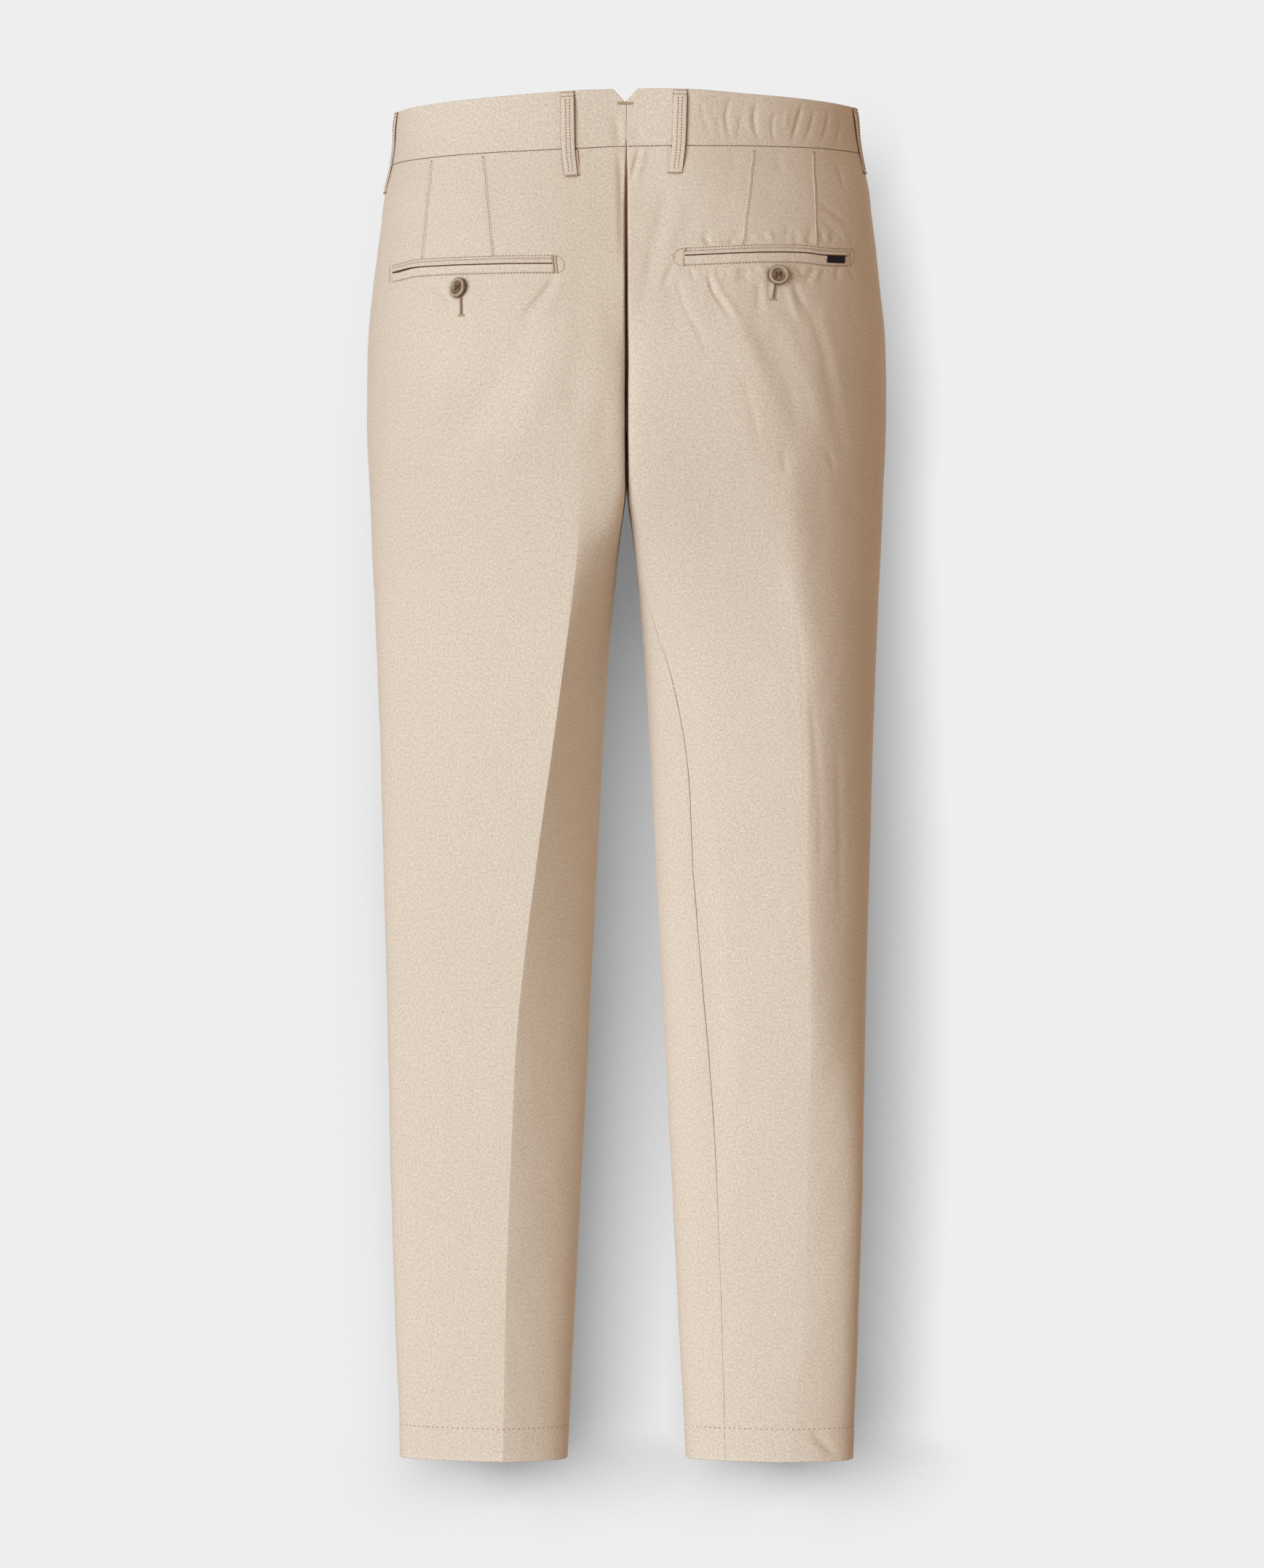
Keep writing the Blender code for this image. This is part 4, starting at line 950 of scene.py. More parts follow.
def twill_group():
    """Slanted ribs of a given pitch, broken into floats along each rib, with a slightly uneven yarn."""
    group, nodes, inside, outside = new_group(
        "twill_weave",
        (
            ("Vector", "NodeSocketVector", None),
            ("Pitch", "NodeSocketFloat", TWILL_PITCH_M),
            ("Unevenness", "NodeSocketFloat", 1.0),
        ),
        (("Height", "NodeSocketFloat"), ("Rib", "NodeSocketFloat"), ("Fibre", "NodeSocketFloat")),
    )
    split = nodes.add("ShaderNodeSeparateXYZ")
    nodes.join(inside.outputs["Vector"], split.inputs[0])
    u, v = split.outputs[0], split.outputs[1]
    sine, cosine = math.sin(TWILL_SLOPE), math.cos(TWILL_SLOPE)
    over = nodes.maths("ADD", nodes.times(u, sine), nodes.times(v, cosine))
    along = nodes.maths("SUBTRACT", nodes.times(u, cosine), nodes.times(v, sine))
    wander = nodes.noise(inside.outputs["Vector"], WANDER_SCALE, 1.0)
    wander = nodes.times(nodes.maths("SUBTRACT", wander, 0.5), inside.outputs["Unevenness"])
    turns = nodes.maths("DIVIDE", over, inside.outputs["Pitch"])
    phase = nodes.scale_add(turns, FULL_TURN, nodes.times(wander, RIB_WANDER))
    rib = nodes.scale_add(nodes.maths("SINE", phase), 0.5, 0.5)
    floats = nodes.maths("DIVIDE", along, inside.outputs["Pitch"])
    stagger = nodes.times(phase, FLOAT_STAGGER)
    floats = nodes.scale_add(floats, FULL_TURN * FLOATS_A_PITCH, stagger)
    floats = nodes.scale_add(nodes.maths("SINE", floats), 0.5, 0.5)
    height = nodes.times(rib, nodes.scale_add(floats, FLOAT_RELIEF, 1 - FLOAT_RELIEF))
    fibre = nodes.noise(inside.outputs["Vector"], FIBRE_SCALE, 2.0, 0.6)
    height = nodes.maths("ADD", height, nodes.times(fibre, FIBRE_RELIEF))
    nodes.join(height, outside.inputs["Height"])
    nodes.join(rib, outside.inputs["Rib"])
    nodes.join(fibre, outside.inputs["Fibre"])
    return group


def tone_group():
    """Slow changes of tone over the whole garment, as dyed and washed cloth has."""
    group, nodes, inside, outside = new_group(
        "washed_tone",
        (("Vector", "NodeSocketVector", None), ("Amount", "NodeSocketFloat", 0.05)),
        (("Tone", "NodeSocketFloat"),),
    )
    broad = nodes.noise(inside.outputs["Vector"], BROAD_TONE_SCALE)
    fine = nodes.noise(inside.outputs["Vector"], FINE_TONE_SCALE, 3.0, 0.6)
    both = nodes.scale_add(broad, 0.6, nodes.times(fine, 0.4))
    change = nodes.times(nodes.maths("SUBTRACT", both, 0.5), inside.outputs["Amount"])
    nodes.join(nodes.maths("ADD", change, 1.0), outside.inputs["Tone"])
    return group


def crevice_group():
    """Darkens and warms a colour where something close by shuts out the light, as beside seams and edges."""
    group, nodes, inside, outside = new_group(
        "crevice_shade",
        (("Colour", "NodeSocketColor", None), ("Reach", "NodeSocketFloat", CLOTH_CREVICE_M)),
        (("Colour", "NodeSocketColor"),),
    )
    openness = nodes.add("ShaderNodeAmbientOcclusion", samples=CREVICE_SAMPLES)
    nodes.join(inside.outputs["Reach"], openness.inputs["Distance"])
    light = nodes.add("ShaderNodeMapRange", {"From Min": CREVICE_FROM, "From Max": CREVICE_TO})
    nodes.join(openness.outputs["AO"], light.inputs["Value"])
    shade = nodes.add("ShaderNodeVectorMath", operation="MULTIPLY")
    nodes.join(inside.outputs["Colour"], shade.inputs[0])
    nodes.join(nodes.mix(light.outputs[0], CREVICE_TINT, (1.0, 1.0, 1.0)), shade.inputs[1])
    nodes.join(shade.outputs[0], outside.inputs["Colour"])
    return group


TWILL_FINISH = {"Sheen Weight": 0.12, "Sheen Roughness": 0.5, "Specular IOR Level": 0.18}
THREAD_FINISH = {"Specular IOR Level": 0.25}
HORN_FINISH = {"Specular IOR Level": 0.5, "Coat Weight": 0.12, "Coat Roughness": 0.25}
TAPE_FINISH = {"Specular IOR Level": 0.25}

CREST, VALLEY, WORN = (0.860, 0.765, 0.655), (0.630, 0.535, 0.425), (0.85, 0.78, 0.69)
GRAIN, MELANGE, TONE_AMOUNT = 0.82, 0.16, 0.07  # how much slubs, fibres and washing change the tone
HORN_TONES = ((0.36, (0.085, 0.05, 0.028)), (0.52, (0.18, 0.118, 0.068)), (0.70, (0.33, 0.235, 0.145)))
# The second tone is the pale colour of the painted highlight on a button rim's top.
HORN_STREAK, HORN_HIGHLIGHT = (0.42, 0.31, 0.20), (0.60, 0.48, 0.35)
TAPE_TONES, TAPE_PITCHES_M = ((0.004, 0.005, 0.010), (0.012, 0.014, 0.028)), (0.00035, 0.0003)


def new_material(name, finish):
    """A material, its nodes and its shader, with the values that stay the same all over it."""
    made = bpy.data.materials.new(name)
    made.use_nodes = True
    shader = made.node_tree.nodes["Principled BSDF"]
    for socket, value in finish.items():
        shader.inputs[socket].default_value = value
    return made, Nodes(made.node_tree), shader


def scaled(nodes, colour, factor):
    """A colour multiplied by a number socket."""
    node = nodes.add("ShaderNodeVectorMath", operation="SCALE")
    nodes.join(colour, node.inputs[0])
    nodes.join(factor, node.inputs["Scale"])
    return node.outputs[0]


def twill_cloth(name, crest, valley, worn):
    """Cotton twill: ribs lighter on their crests, mottled yarn, slow tone changes and paler worn edges."""
    made, nodes, shader = new_material(name, TWILL_FINISH)
    uv = nodes.add("ShaderNodeUVMap", uv_map="UVMap")
    place = nodes.add("ShaderNodeTexCoord")
    weave_values = {"Pitch": TWILL_PITCH_M, "Unevenness": 1.0}
    weave = nodes.add("ShaderNodeGroup", weave_values, node_tree=groups["twill"])
    nodes.join(uv.outputs[0], weave.inputs["Vector"])
    tone = nodes.add("ShaderNodeGroup", {"Amount": TONE_AMOUNT}, node_tree=groups["tone"])
    nodes.join(place.outputs["Object"], tone.inputs["Vector"])
    colour = nodes.mix(weave.outputs["Height"], valley, crest)
    wear_and_highlight = nodes.add("ShaderNodeAttribute", attribute_name="wear_and_highlight")
    colour = nodes.mix(wear_and_highlight.outputs["Fac"], colour, worn)
    melange = nodes.scale_add(weave.outputs["Fibre"], MELANGE, 1 - MELANGE / 2)
    slub = nodes.noise(uv.outputs[0], SLUB_SCALE, 2.0, 0.75)
    grain = nodes.scale_add(slub, GRAIN, 1 - GRAIN / 2)
    factor = nodes.times(nodes.times(melange, grain), tone.outputs["Tone"])
    # Painted shade in the cloth's colour: darker and warmer in crevices, beside seams and under edges.
    crevice = nodes.add("ShaderNodeGroup", {"Reach": CLOTH_CREVICE_M}, node_tree=groups["crevice"])
    nodes.join(scaled(nodes, colour, factor), crevice.inputs["Colour"])
    nodes.join(crevice.outputs[0], shader.inputs["Base Color"])
    nodes.join(nodes.scale_add(weave.outputs["Fibre"], 0.12, 0.8), shader.inputs["Roughness"])
    nodes.raise_surface(shader, weave.outputs["Height"], strength=0.6, distance=0.00022)
    return made


def thread_material(name, light, dark):
    """Twisted cotton thread, mottled between two colours."""
    made, nodes, shader = new_material(name, THREAD_FINISH)
    place = nodes.add("ShaderNodeTexCoord")
    twist = nodes.noise(place.outputs["Object"], TWIST_SCALE)
    slow = nodes.noise(place.outputs["Object"], THREAD_TONE_SCALE, 1.0)
    colour = nodes.mix(nodes.times(nodes.maths("ADD", twist, slow), 0.5), dark, light)
    nodes.join(colour, shader.inputs["Base Color"])
    nodes.join(nodes.scale_add(twist, 0.2, 0.6), shader.inputs["Roughness"])
    nodes.raise_surface(shader, twist, strength=0.4, distance=0.00008)
    return made


def horn_material():
    """Mottled brown horn-like resin with pale streaks, fine turning marks and a soft polish."""
    made, nodes, shader = new_material("brown_horn", HORN_FINISH)
    place = nodes.add("ShaderNodeTexCoord")
    cloud = nodes.noise(place.outputs["Object"], HORN_CLOUD_SCALE, 3.0, 0.55, 1.2)
    streak = nodes.noise(place.outputs["Object"], HORN_STREAK_SCALE, 2.0, 0.5, 2.0)
    ramp = nodes.add("ShaderNodeValToRGB")
    stops = ramp.color_ramp.elements
    stops.new(HORN_TONES[1][0])
    for stop, (position, tone) in zip(stops, HORN_TONES):
        stop.position = position
        stop.color = (*tone, 1)
    nodes.join(cloud, ramp.inputs[0])
    colour = nodes.mix(nodes.times(streak, 0.35), ramp.outputs[0], HORN_STREAK)
    # Painted highlight: the rim's top, marked by the attribute read here, is mixed towards a pale tone.
    highlight_share = nodes.add("ShaderNodeAttribute", attribute_name="wear_and_highlight")
    colour = nodes.mix(highlight_share.outputs["Fac"], colour, HORN_HIGHLIGHT)
    # Painted shade in the horn's colour: darker in its holes and round the dish of its face.
    crevice = nodes.add("ShaderNodeGroup", {"Reach": HORN_CREVICE_M}, node_tree=groups["crevice"])
    nodes.join(colour, crevice.inputs["Colour"])
    nodes.join(crevice.outputs[0], shader.inputs["Base Color"])
    nodes.join(nodes.scale_add(streak, 0.25, 0.25), shader.inputs["Roughness"])
    nodes.raise_surface(shader, streak, strength=0.2, distance=0.00005)
    return made


def tape_material():
    """Dark tape woven of fine ribs across its length."""
    made, nodes, shader = new_material("navy_tape", TAPE_FINISH)
    uv = nodes.add("ShaderNodeUVMap", uv_map="UVMap")
    split = nodes.add("ShaderNodeSeparateXYZ")
    nodes.join(uv.outputs[0], split.inputs[0])
    across, along = (
        nodes.maths("SINE", nodes.times(socket, FULL_TURN / pitch))
        for socket, pitch in zip(split.outputs, TAPE_PITCHES_M)
    )
    weave = nodes.scale_add(nodes.times(across, along), 0.5, 0.5)
    nodes.join(nodes.mix(weave, *TAPE_TONES), shader.inputs["Base Color"])
    nodes.join(nodes.scale_add(weave, 0.2, 0.5), shader.inputs["Roughness"])
    nodes.raise_surface(shader, weave, strength=0.5, distance=0.0001)
    return made


groups = {"twill": twill_group(), "tone": tone_group(), "crevice": crevice_group()}
chino = twill_cloth("chino_twill", CREST, VALLEY, WORN)
# A near-black cloth for the pocket slits and the buttonhole cuts: painted shade where one looks into a slit.
slit_shade_cloth = twill_cloth("painted_slit_shade", (0.15, 0.085, 0.045), (0.08, 0.045, 0.024), (0.17, 0.10, 0.06))
# The sewing thread is partly its own khaki and partly painted shade: it is made darker to stand for the shade
# of its needle holes.
sewing = thread_material("khaki_thread_painted_shade", (0.40, 0.30, 0.19), (0.24, 0.165, 0.095))
tack = thread_material("tack_thread", (0.70, 0.60, 0.45), (0.50, 0.39, 0.26))
brown_thread = thread_material("brown_thread", (0.17, 0.10, 0.06), (0.07, 0.035, 0.02))
horn = horn_material()
tape = tape_material()

# ---------- Leg panels ----------

CLOTH = 0.9  # thickness of the shells
ROWS_ABOVE, ROWS_BELOW = 208, 200
COLUMNS_INNER, COLUMNS_OUTER = 88, 128
FRONT_ROWS_ABOVE, FRONT_ROWS_BELOW = 128, 252
FRONT_COLUMNS = 56
INSIDE_STEP = 4
SEAM_ROUND, TOP_ROUND, HEM_ROUND = 0.4, 0.5, 0.8
HEM_DEPTH, HEM_THICK = 26.0, 1.9
HEM_EDGE, HEM_PROUD = 2.5, 0.22  # how far the turned-up edge takes to come in, and how high it stands
HEM_DRAWN, HEM_DRAWN_REACH = 0.25, 1.6  # how far its stitches draw the cloth in
POCKET_MOUTH, POCKET_FOOT = 46.0, -186.0
MOUTH_PROUD = 0.7  # how far the pocket's folded edge stands off the cloth behind it
MOUTH_FADE, MOUTH_REACH = 30, 18
SEAMS_FLAT, SEAMS_FLAT_FROM, SEAMS_FLAT_FADE = 0.9, -720, 180  # the inner seams are pressed flat low down
HEM_WEAR, MOUTH_WEAR, CREASE_WEAR = (0.55, 2.0), (0.5, 1.5), (0.16, 1.2)  # how much, and over what distance
CREASE_WEAR_FROM, CREASE_WEAR_FADE = -300, 120

# Puckers of the long seams: spacing, depth and reach.
PUCKER_SPACING, PUCKER_DEPTH, PUCKER_REACH = 17.0, 0.20, 7.0
PUCKERS_END, PUCKERS_FADE = -1035, 20
SEAM_PUCKER_SEED, EDGE_PUCKER_SEED, BACK_SEED = 40, 50, 3


def leg_levels(above, below):
    """Levels of a panel's rows, closer together at the waist seam, the crotch and the hem."""
    top = WAIST_SEAM - SEAM_GAP / 2
    upper = top + (CROTCH - top) * crowded(above, start=0.8, end=0.5, cells=12)
    lower = CROTCH + (HEM - CROTCH) * crowded(below, start=0.6, end=0.85, cells=14)
    return np.concatenate([upper, lower[1:]])


def leg_runs(half, level):
    """Runs of a row's landmarks: back edge, back crease, side seam, front crease and front edge."""
    marks = section(half, float(level))[2]
    side = marks["side"] - float(read(SEAM_TABLE, f"{half_name(half)}_side", level))
    back_edge, front_edge = 0.0, marks["end"]
    if level <= CROTCH:
        start = float(read(SEAM_TABLE, f"{half_name(half)}_inseam", level))
        back_edge, front_edge = start + SEAM_GAP / 2, marks["end"] + start - SEAM_GAP / 2
    return back_edge, marks["back_crease"], side, marks["front_crease"], front_edge


def pocket_inset(level):
    """Distance of the slanted pocket's edge from the side seam."""
    return POCKET_MOUTH * np.clip((level - POCKET_FOOT) / (WAIST_SEAM - POCKET_FOOT), 0, 1)


def puckers(distance, along, seed):
    """Short shallow wrinkles that leave a seam at uneven places along it."""
    random = np.random.default_rng(seed)
    low, high = along.min(), along.max()
    total = np.zeros_like(distance)
    place = low
    while place < high:
        place += PUCKER_SPACING * random.uniform(0.4, 1.7)
        width = random.uniform(2.0, 4.5)
        reach = PUCKER_REACH * random.uniform(0.6, 1.8)
        depth = PUCKER_DEPTH * random.uniform(-0.6, 1.0)
        lean = random.uniform(-0.5, 0.5)
        near = (np.abs(along - place) < 4 * width + 2 * reach) & (distance < 4 * reach)
        offset = along[near] - place - lean * distance[near]
        total[near] += depth * np.exp(-((offset / width) ** 2) - (distance[near] / reach))
    return total


def hem_height(level):
    """The turned-up hem: its thickness shows under the stitch line, which is drawn in a little."""
    stitch = HEM + HEM_DEPTH
    drawn = HEM_DRAWN * np.exp(-(((level - stitch) / HEM_DRAWN_REACH) ** 2))
    return HEM_PROUD * ease((stitch - level) / HEM_EDGE) - drawn


def leg_panel(half, face):
    """One leg panel from waist seam to hem: a fine grid with a line of points on the crease."""
    back = face == "back"
    levels = leg_levels(ROWS_ABOVE, ROWS_BELOW) if back else leg_levels(FRONT_ROWS_ABOVE, FRONT_ROWS_BELOW)
    inner = crowded(COLUMNS_INNER if back else FRONT_COLUMNS, start=0.85, end=0.8)
    outer = crowded(COLUMNS_OUTER if back else FRONT_COLUMNS, start=0.8, end=0.85)[1:]
    runs, anchors = [], []
    for level in levels:
        back_edge, back_crease, side, front_crease, front_edge = leg_runs(half, level)
        column = f"{half_name(half)}_{face}"
        if back:
            first, crease, last = back_edge, back_crease, side - SEAM_GAP / 2
        else:
            first, crease, last = front_edge, front_crease, side + float(pocket_inset(level)) + SEAM_GAP / 2
        runs.append(np.concatenate([first + (crease - first) * inner, crease + (last - crease) * outer]))
        anchors.append(read(CREASE_TABLE, column, level) * (1 if back else -1) - crease)
    runs = np.array(runs)
    grid = down(levels, runs)
    along = runs + np.array(anchors)[:, None]
    uv = pair(half * along, grid)
    points, normals = cloth(half, runs, grid), cloth_normals(half, runs, grid)
    seam, outer_edge = np.abs(runs - runs[:, :1]), np.abs(runs - runs[:, -1:])
    height = relief(half, runs, grid, points) + hem_height(grid)
    fade = ease((grid - PUCKERS_END) / PUCKERS_FADE)
    seed = half + (BACK_SEED if back else 0)
    height += fade * puckers(seam, grid, SEAM_PUCKER_SEED + seed)
    height += fade * puckers(outer_edge, grid, EDGE_PUCKER_SEED + seed)
    mouth = 0.0 if back else ease((grid - POCKET_FOOT) / MOUTH_FADE) * ease(1 - outer_edge / MOUTH_REACH)
    height = height + MOUTH_PROUD * mouth
    pressed_flat = 1 - SEAMS_FLAT * ease((SEAMS_FLAT_FROM - grid) / SEAMS_FLAT_FADE)
    drop = pressed_flat * rounded(seam, SEAM_ROUND) + rounded(outer_edge, SEAM_ROUND)
    drop = drop + rounded(levels[0] - grid, TOP_ROUND) + rounded(grid - HEM, HEM_ROUND)
    thick = CLOTH + (HEM_THICK - CLOTH) * ease((HEM + HEM_DEPTH - grid) / HEM_EDGE)
    inner_drop = rounded(grid - HEM, HEM_ROUND)
    outside = points + normals * (height - drop)[..., None]
    inside = points + normals * (height - thick + 0.6 * inner_drop)[..., None]
    wear_and_highlight = HEM_WEAR[0] * np.exp(-((grid - HEM) / HEM_WEAR[1]))
    wear_and_highlight = wear_and_highlight + MOUTH_WEAR[0] * mouth * np.exp(-outer_edge / MOUTH_WEAR[1])
    off_crease = np.abs(runs - runs[:, len(inner) - 1 : len(inner)])
    pressed = ease((CREASE_WEAR_FROM - grid) / CREASE_WEAR_FADE) * np.exp(-off_crease / CREASE_WEAR[1])
    wear_and_highlight = wear_and_highlight + CREASE_WEAR[0] * pressed
    made = shell(f"{face}_{half_name(half)}_cloth", outside, inside, uv, chino, wear_and_highlight, INSIDE_STEP)
    cut = (float((runs.max(axis=1) - runs.min(axis=1)).max()), float(levels[0] - levels[-1]))
    return made, cut


FACING_ROWS, FACING_COLUMNS = 80, 24
FACING_ABOVE_FOOT, FACING_PAST, FACING_SUNK = 6, 1.5, 1.0
FACING_SINKS_FROM, FACING_SINKS_OVER = 1, 8


def pocket_facing(half):
    """The triangle of cloth behind the slanted pocket edge, sunk a little under it."""
    levels = np.linspace(WAIST_SEAM - SEAM_GAP / 2, POCKET_FOOT + FACING_ABOVE_FOOT, FACING_ROWS + 1)
    share = crowded(FACING_COLUMNS, start=0.6)
    sides = np.array([leg_runs(half, level)[2] for level in levels])
    widths = np.array([float(pocket_inset(level)) + FACING_PAST for level in levels])
    runs = sides[:, None] + SEAM_GAP / 2 + widths[:, None] * share
    grid = down(levels, runs)
    uv = pair(half * runs, grid)
    points, normals = cloth(half, runs, grid), cloth_normals(half, runs, grid)
    height = relief(half, runs, grid, points)
    away = runs - sides[:, None]
    sink = FACING_SUNK * ease((away - FACING_SINKS_FROM) / FACING_SINKS_OVER) + rounded(away, SEAM_ROUND)
    sink = sink + rounded(levels[0] - grid, TOP_ROUND)
    outside = points + normals * (height - sink)[..., None]
    inside = points + normals * (height - np.minimum(sink, FACING_SUNK) - CLOTH)[..., None]
    made = shell(
        f"front_pocket_facing_{half_name(half)}_cloth", outside, inside, uv, chino, step=INSIDE_STEP
    )
    return made, (POCKET_MOUTH + FACING_PAST, float(levels[0] - levels[-1]))


# ---------- Waistband ----------

BAND_ROWS, BAND_COLUMNS, LAP_COLUMNS = 30, 380, 44
BAND_THICK, BAND_ROUND, BAND_FOOT_ROUND, BAND_END_ROUND, LAP_ROUND = 2.3, 1.0, 0.5, 0.35, 0.9
BAND_WEAR = (0.45, 0.9)
NOTCH_DEPTH, NOTCH_SHIFT, NOTCH_WIDTH = 8.8, 1.0, 9.2  # its point is a little to the left
LAP, LAP_STEP, LAP_GAP = 32.0, 12.0, 0.5


def waistband(half):
    """Half the waistband: its top and bottom edges are folds, and a notch is cut in at the centre back."""
    share = crowded(BAND_ROWS, start=0.88, end=0.88, cells=4)
    low, high = WAIST_SEAM + SEAM_GAP / 2, BAND_TOP
    levels = low + (high - low) * share
    ends = np.array([landmark(half, level, "end") for level in levels])
    runs = ends[:, None] * crowded(BAND_COLUMNS, start=0.8, end=0.0)
    above = share[:, None]
    notch = NOTCH_DEPTH * above * np.clip(1 - np.abs(half * runs + NOTCH_SHIFT) / NOTCH_WIDTH, 0, 1)
    grid = levels[:, None] - notch
    edge = (1 - above) * (high - low) + np.zeros_like(runs)
    foot = above * (high - low) + np.zeros_like(runs)
    drop = rounded(edge, BAND_ROUND) + rounded(foot, BAND_FOOT_ROUND) + rounded(runs, BAND_END_ROUND)
    lift_in = rounded(edge, BAND_ROUND)
    if half == RIGHT:
        under = (BAND_THICK + LAP_GAP) * ease((runs - ends[:, None] + LAP + LAP_STEP) / LAP_STEP)
        drop = drop + under
        thick = BAND_THICK + under
        outside, inside = skin(RIGHT, runs, grid, -drop), skin(RIGHT, runs, grid, lift_in - thick)
        uv = pair(runs, grid)
    else:
        outside, inside = skin(LEFT, runs, grid, -drop), skin(LEFT, runs, grid, lift_in - BAND_THICK)
        uv = pair(-runs, grid)
        # Past the centre front it goes on over the other half, whose runs fall towards the side.
        other = np.array([landmark(RIGHT, level, "end") for level in levels])
        past = LAP * crowded(LAP_COLUMNS, end=0.85)[1:]
        past_runs = other[:, None] - past
        past_grid = down(levels, past_runs)
        end_drop = rounded(LAP - past, LAP_ROUND)[None, :]
        past_drop = drop[:, -1:] + end_drop
        past_in = lift_in[:, -1:] + 0.5 * end_drop
        past_uv = pair(-(ends[:, None] + past), past_grid)
        outside = np.concatenate([outside, skin(RIGHT, past_runs, past_grid, -past_drop)], axis=1)
        inside = np.concatenate([inside, skin(RIGHT, past_runs, past_grid, past_in - BAND_THICK)], axis=1)
        uv = np.concatenate([uv, past_uv], axis=1)
        edge = np.concatenate([edge, np.broadcast_to(edge[:, -1:], past_runs.shape)], axis=1)
    wear_and_highlight = BAND_WEAR[0] * np.exp(-edge / BAND_WEAR[1])
    made = shell(f"waistband_{half_name(half)}_cloth", outside, inside, uv, chino, wear_and_highlight)
    return made, (float(ends.max()) + (LAP if half == LEFT else 0), high - low)


# ---------- Belt loops ----------

# The strap's (share of its length, distance off the cloth), from its top to its foot.
LOOP_PROFILE = (
    (0.0, 0.35), (0.03, 0.35), (0.075, 3.0), (0.12, 4.9), (0.19, 5.6), (0.45, 5.6), (0.70, 5.2),
    (0.81, 4.2), (0.89, 2.2), (0.945, 0.35), (1.0, 0.35),
)
LOOP_WIDTH, LOOP_WALL = 9.8, 1.3
LOOP_TOP = 18.6
LOOP_FOLDED = 6  # how much of a strap is folded under at its ends
LOOP_SMOOTHING, LOOP_TAPS = 0.018, 9
LOOP_ROUND, LOOP_SQUARE = 0.3, 6  # how far a strap's edges drop, and how suddenly
LOOP_WEAR = (0.4, 0.5)
TURNED_OUT, TURNED_IN, TURNED_ABOVE_FOOT = 2.3, 4.0, 0.6  # the folded-back end against the strap's edges
TURNED_LOW, TURNED_HIGH, TURNED_UNDER = 0.3, 1.15, 0.4  # its height off the cloth, and below the strap
BAR_IN = 0.4  # how far a bar tack's ends are measured inside the strap's edges
BACK_LOOP_FOOT, FRONT_LOOP_FOOT = -42.0, -42.0
SIDE_LOOP_FOOT = {LEFT: -43.0, RIGHT: -36.0}
BACK_LOOP_X = {LEFT: (45.6, 42.5), RIGHT: (42.0, 38.0)}
SIDE_LOOP_BACK = {LEFT: 9.0, RIGHT: 13.0}
LOOP_STAND = {"back": 0.34, "side": 0.1, "front": 0.8}  # how much of the profile's stand each loop takes
FRONT_LOOP_X = 82.0
LOOP_ROWS, LOOP_COLUMNS = 72, 16


def loop_stand(share):
    """How far the strap's underside stands off the cloth along it, rounded between the profile's points."""
    at, stand = np.array(LOOP_PROFILE).T
    taps = LOOP_SMOOTHING * np.linspace(-1, 1, LOOP_TAPS)
    return sum(np.interp(share + tap, at, stand) for tap in taps) / LOOP_TAPS


def loop_surface(half, foot, run_at, stand):
    """The strap's outer surface as a function of the distance across it and the level."""
    top_run, foot_run = run_at(LOOP_TOP), run_at(foot)

    def surface(across, level):
        share = (LOOP_TOP - level) / (LOOP_TOP - foot)
        run = top_run + (foot_run - top_run) * share + across
        dip = LOOP_ROUND * (np.abs(across) / (LOOP_WIDTH / 2)) ** LOOP_SQUARE
        out = stand * loop_stand(share) + LOOP_WALL - dip + side_bulge(half, run, level)
        return cloth(half, run, level) + cloth_normals(half, run, level) * out[..., None]

    return surface


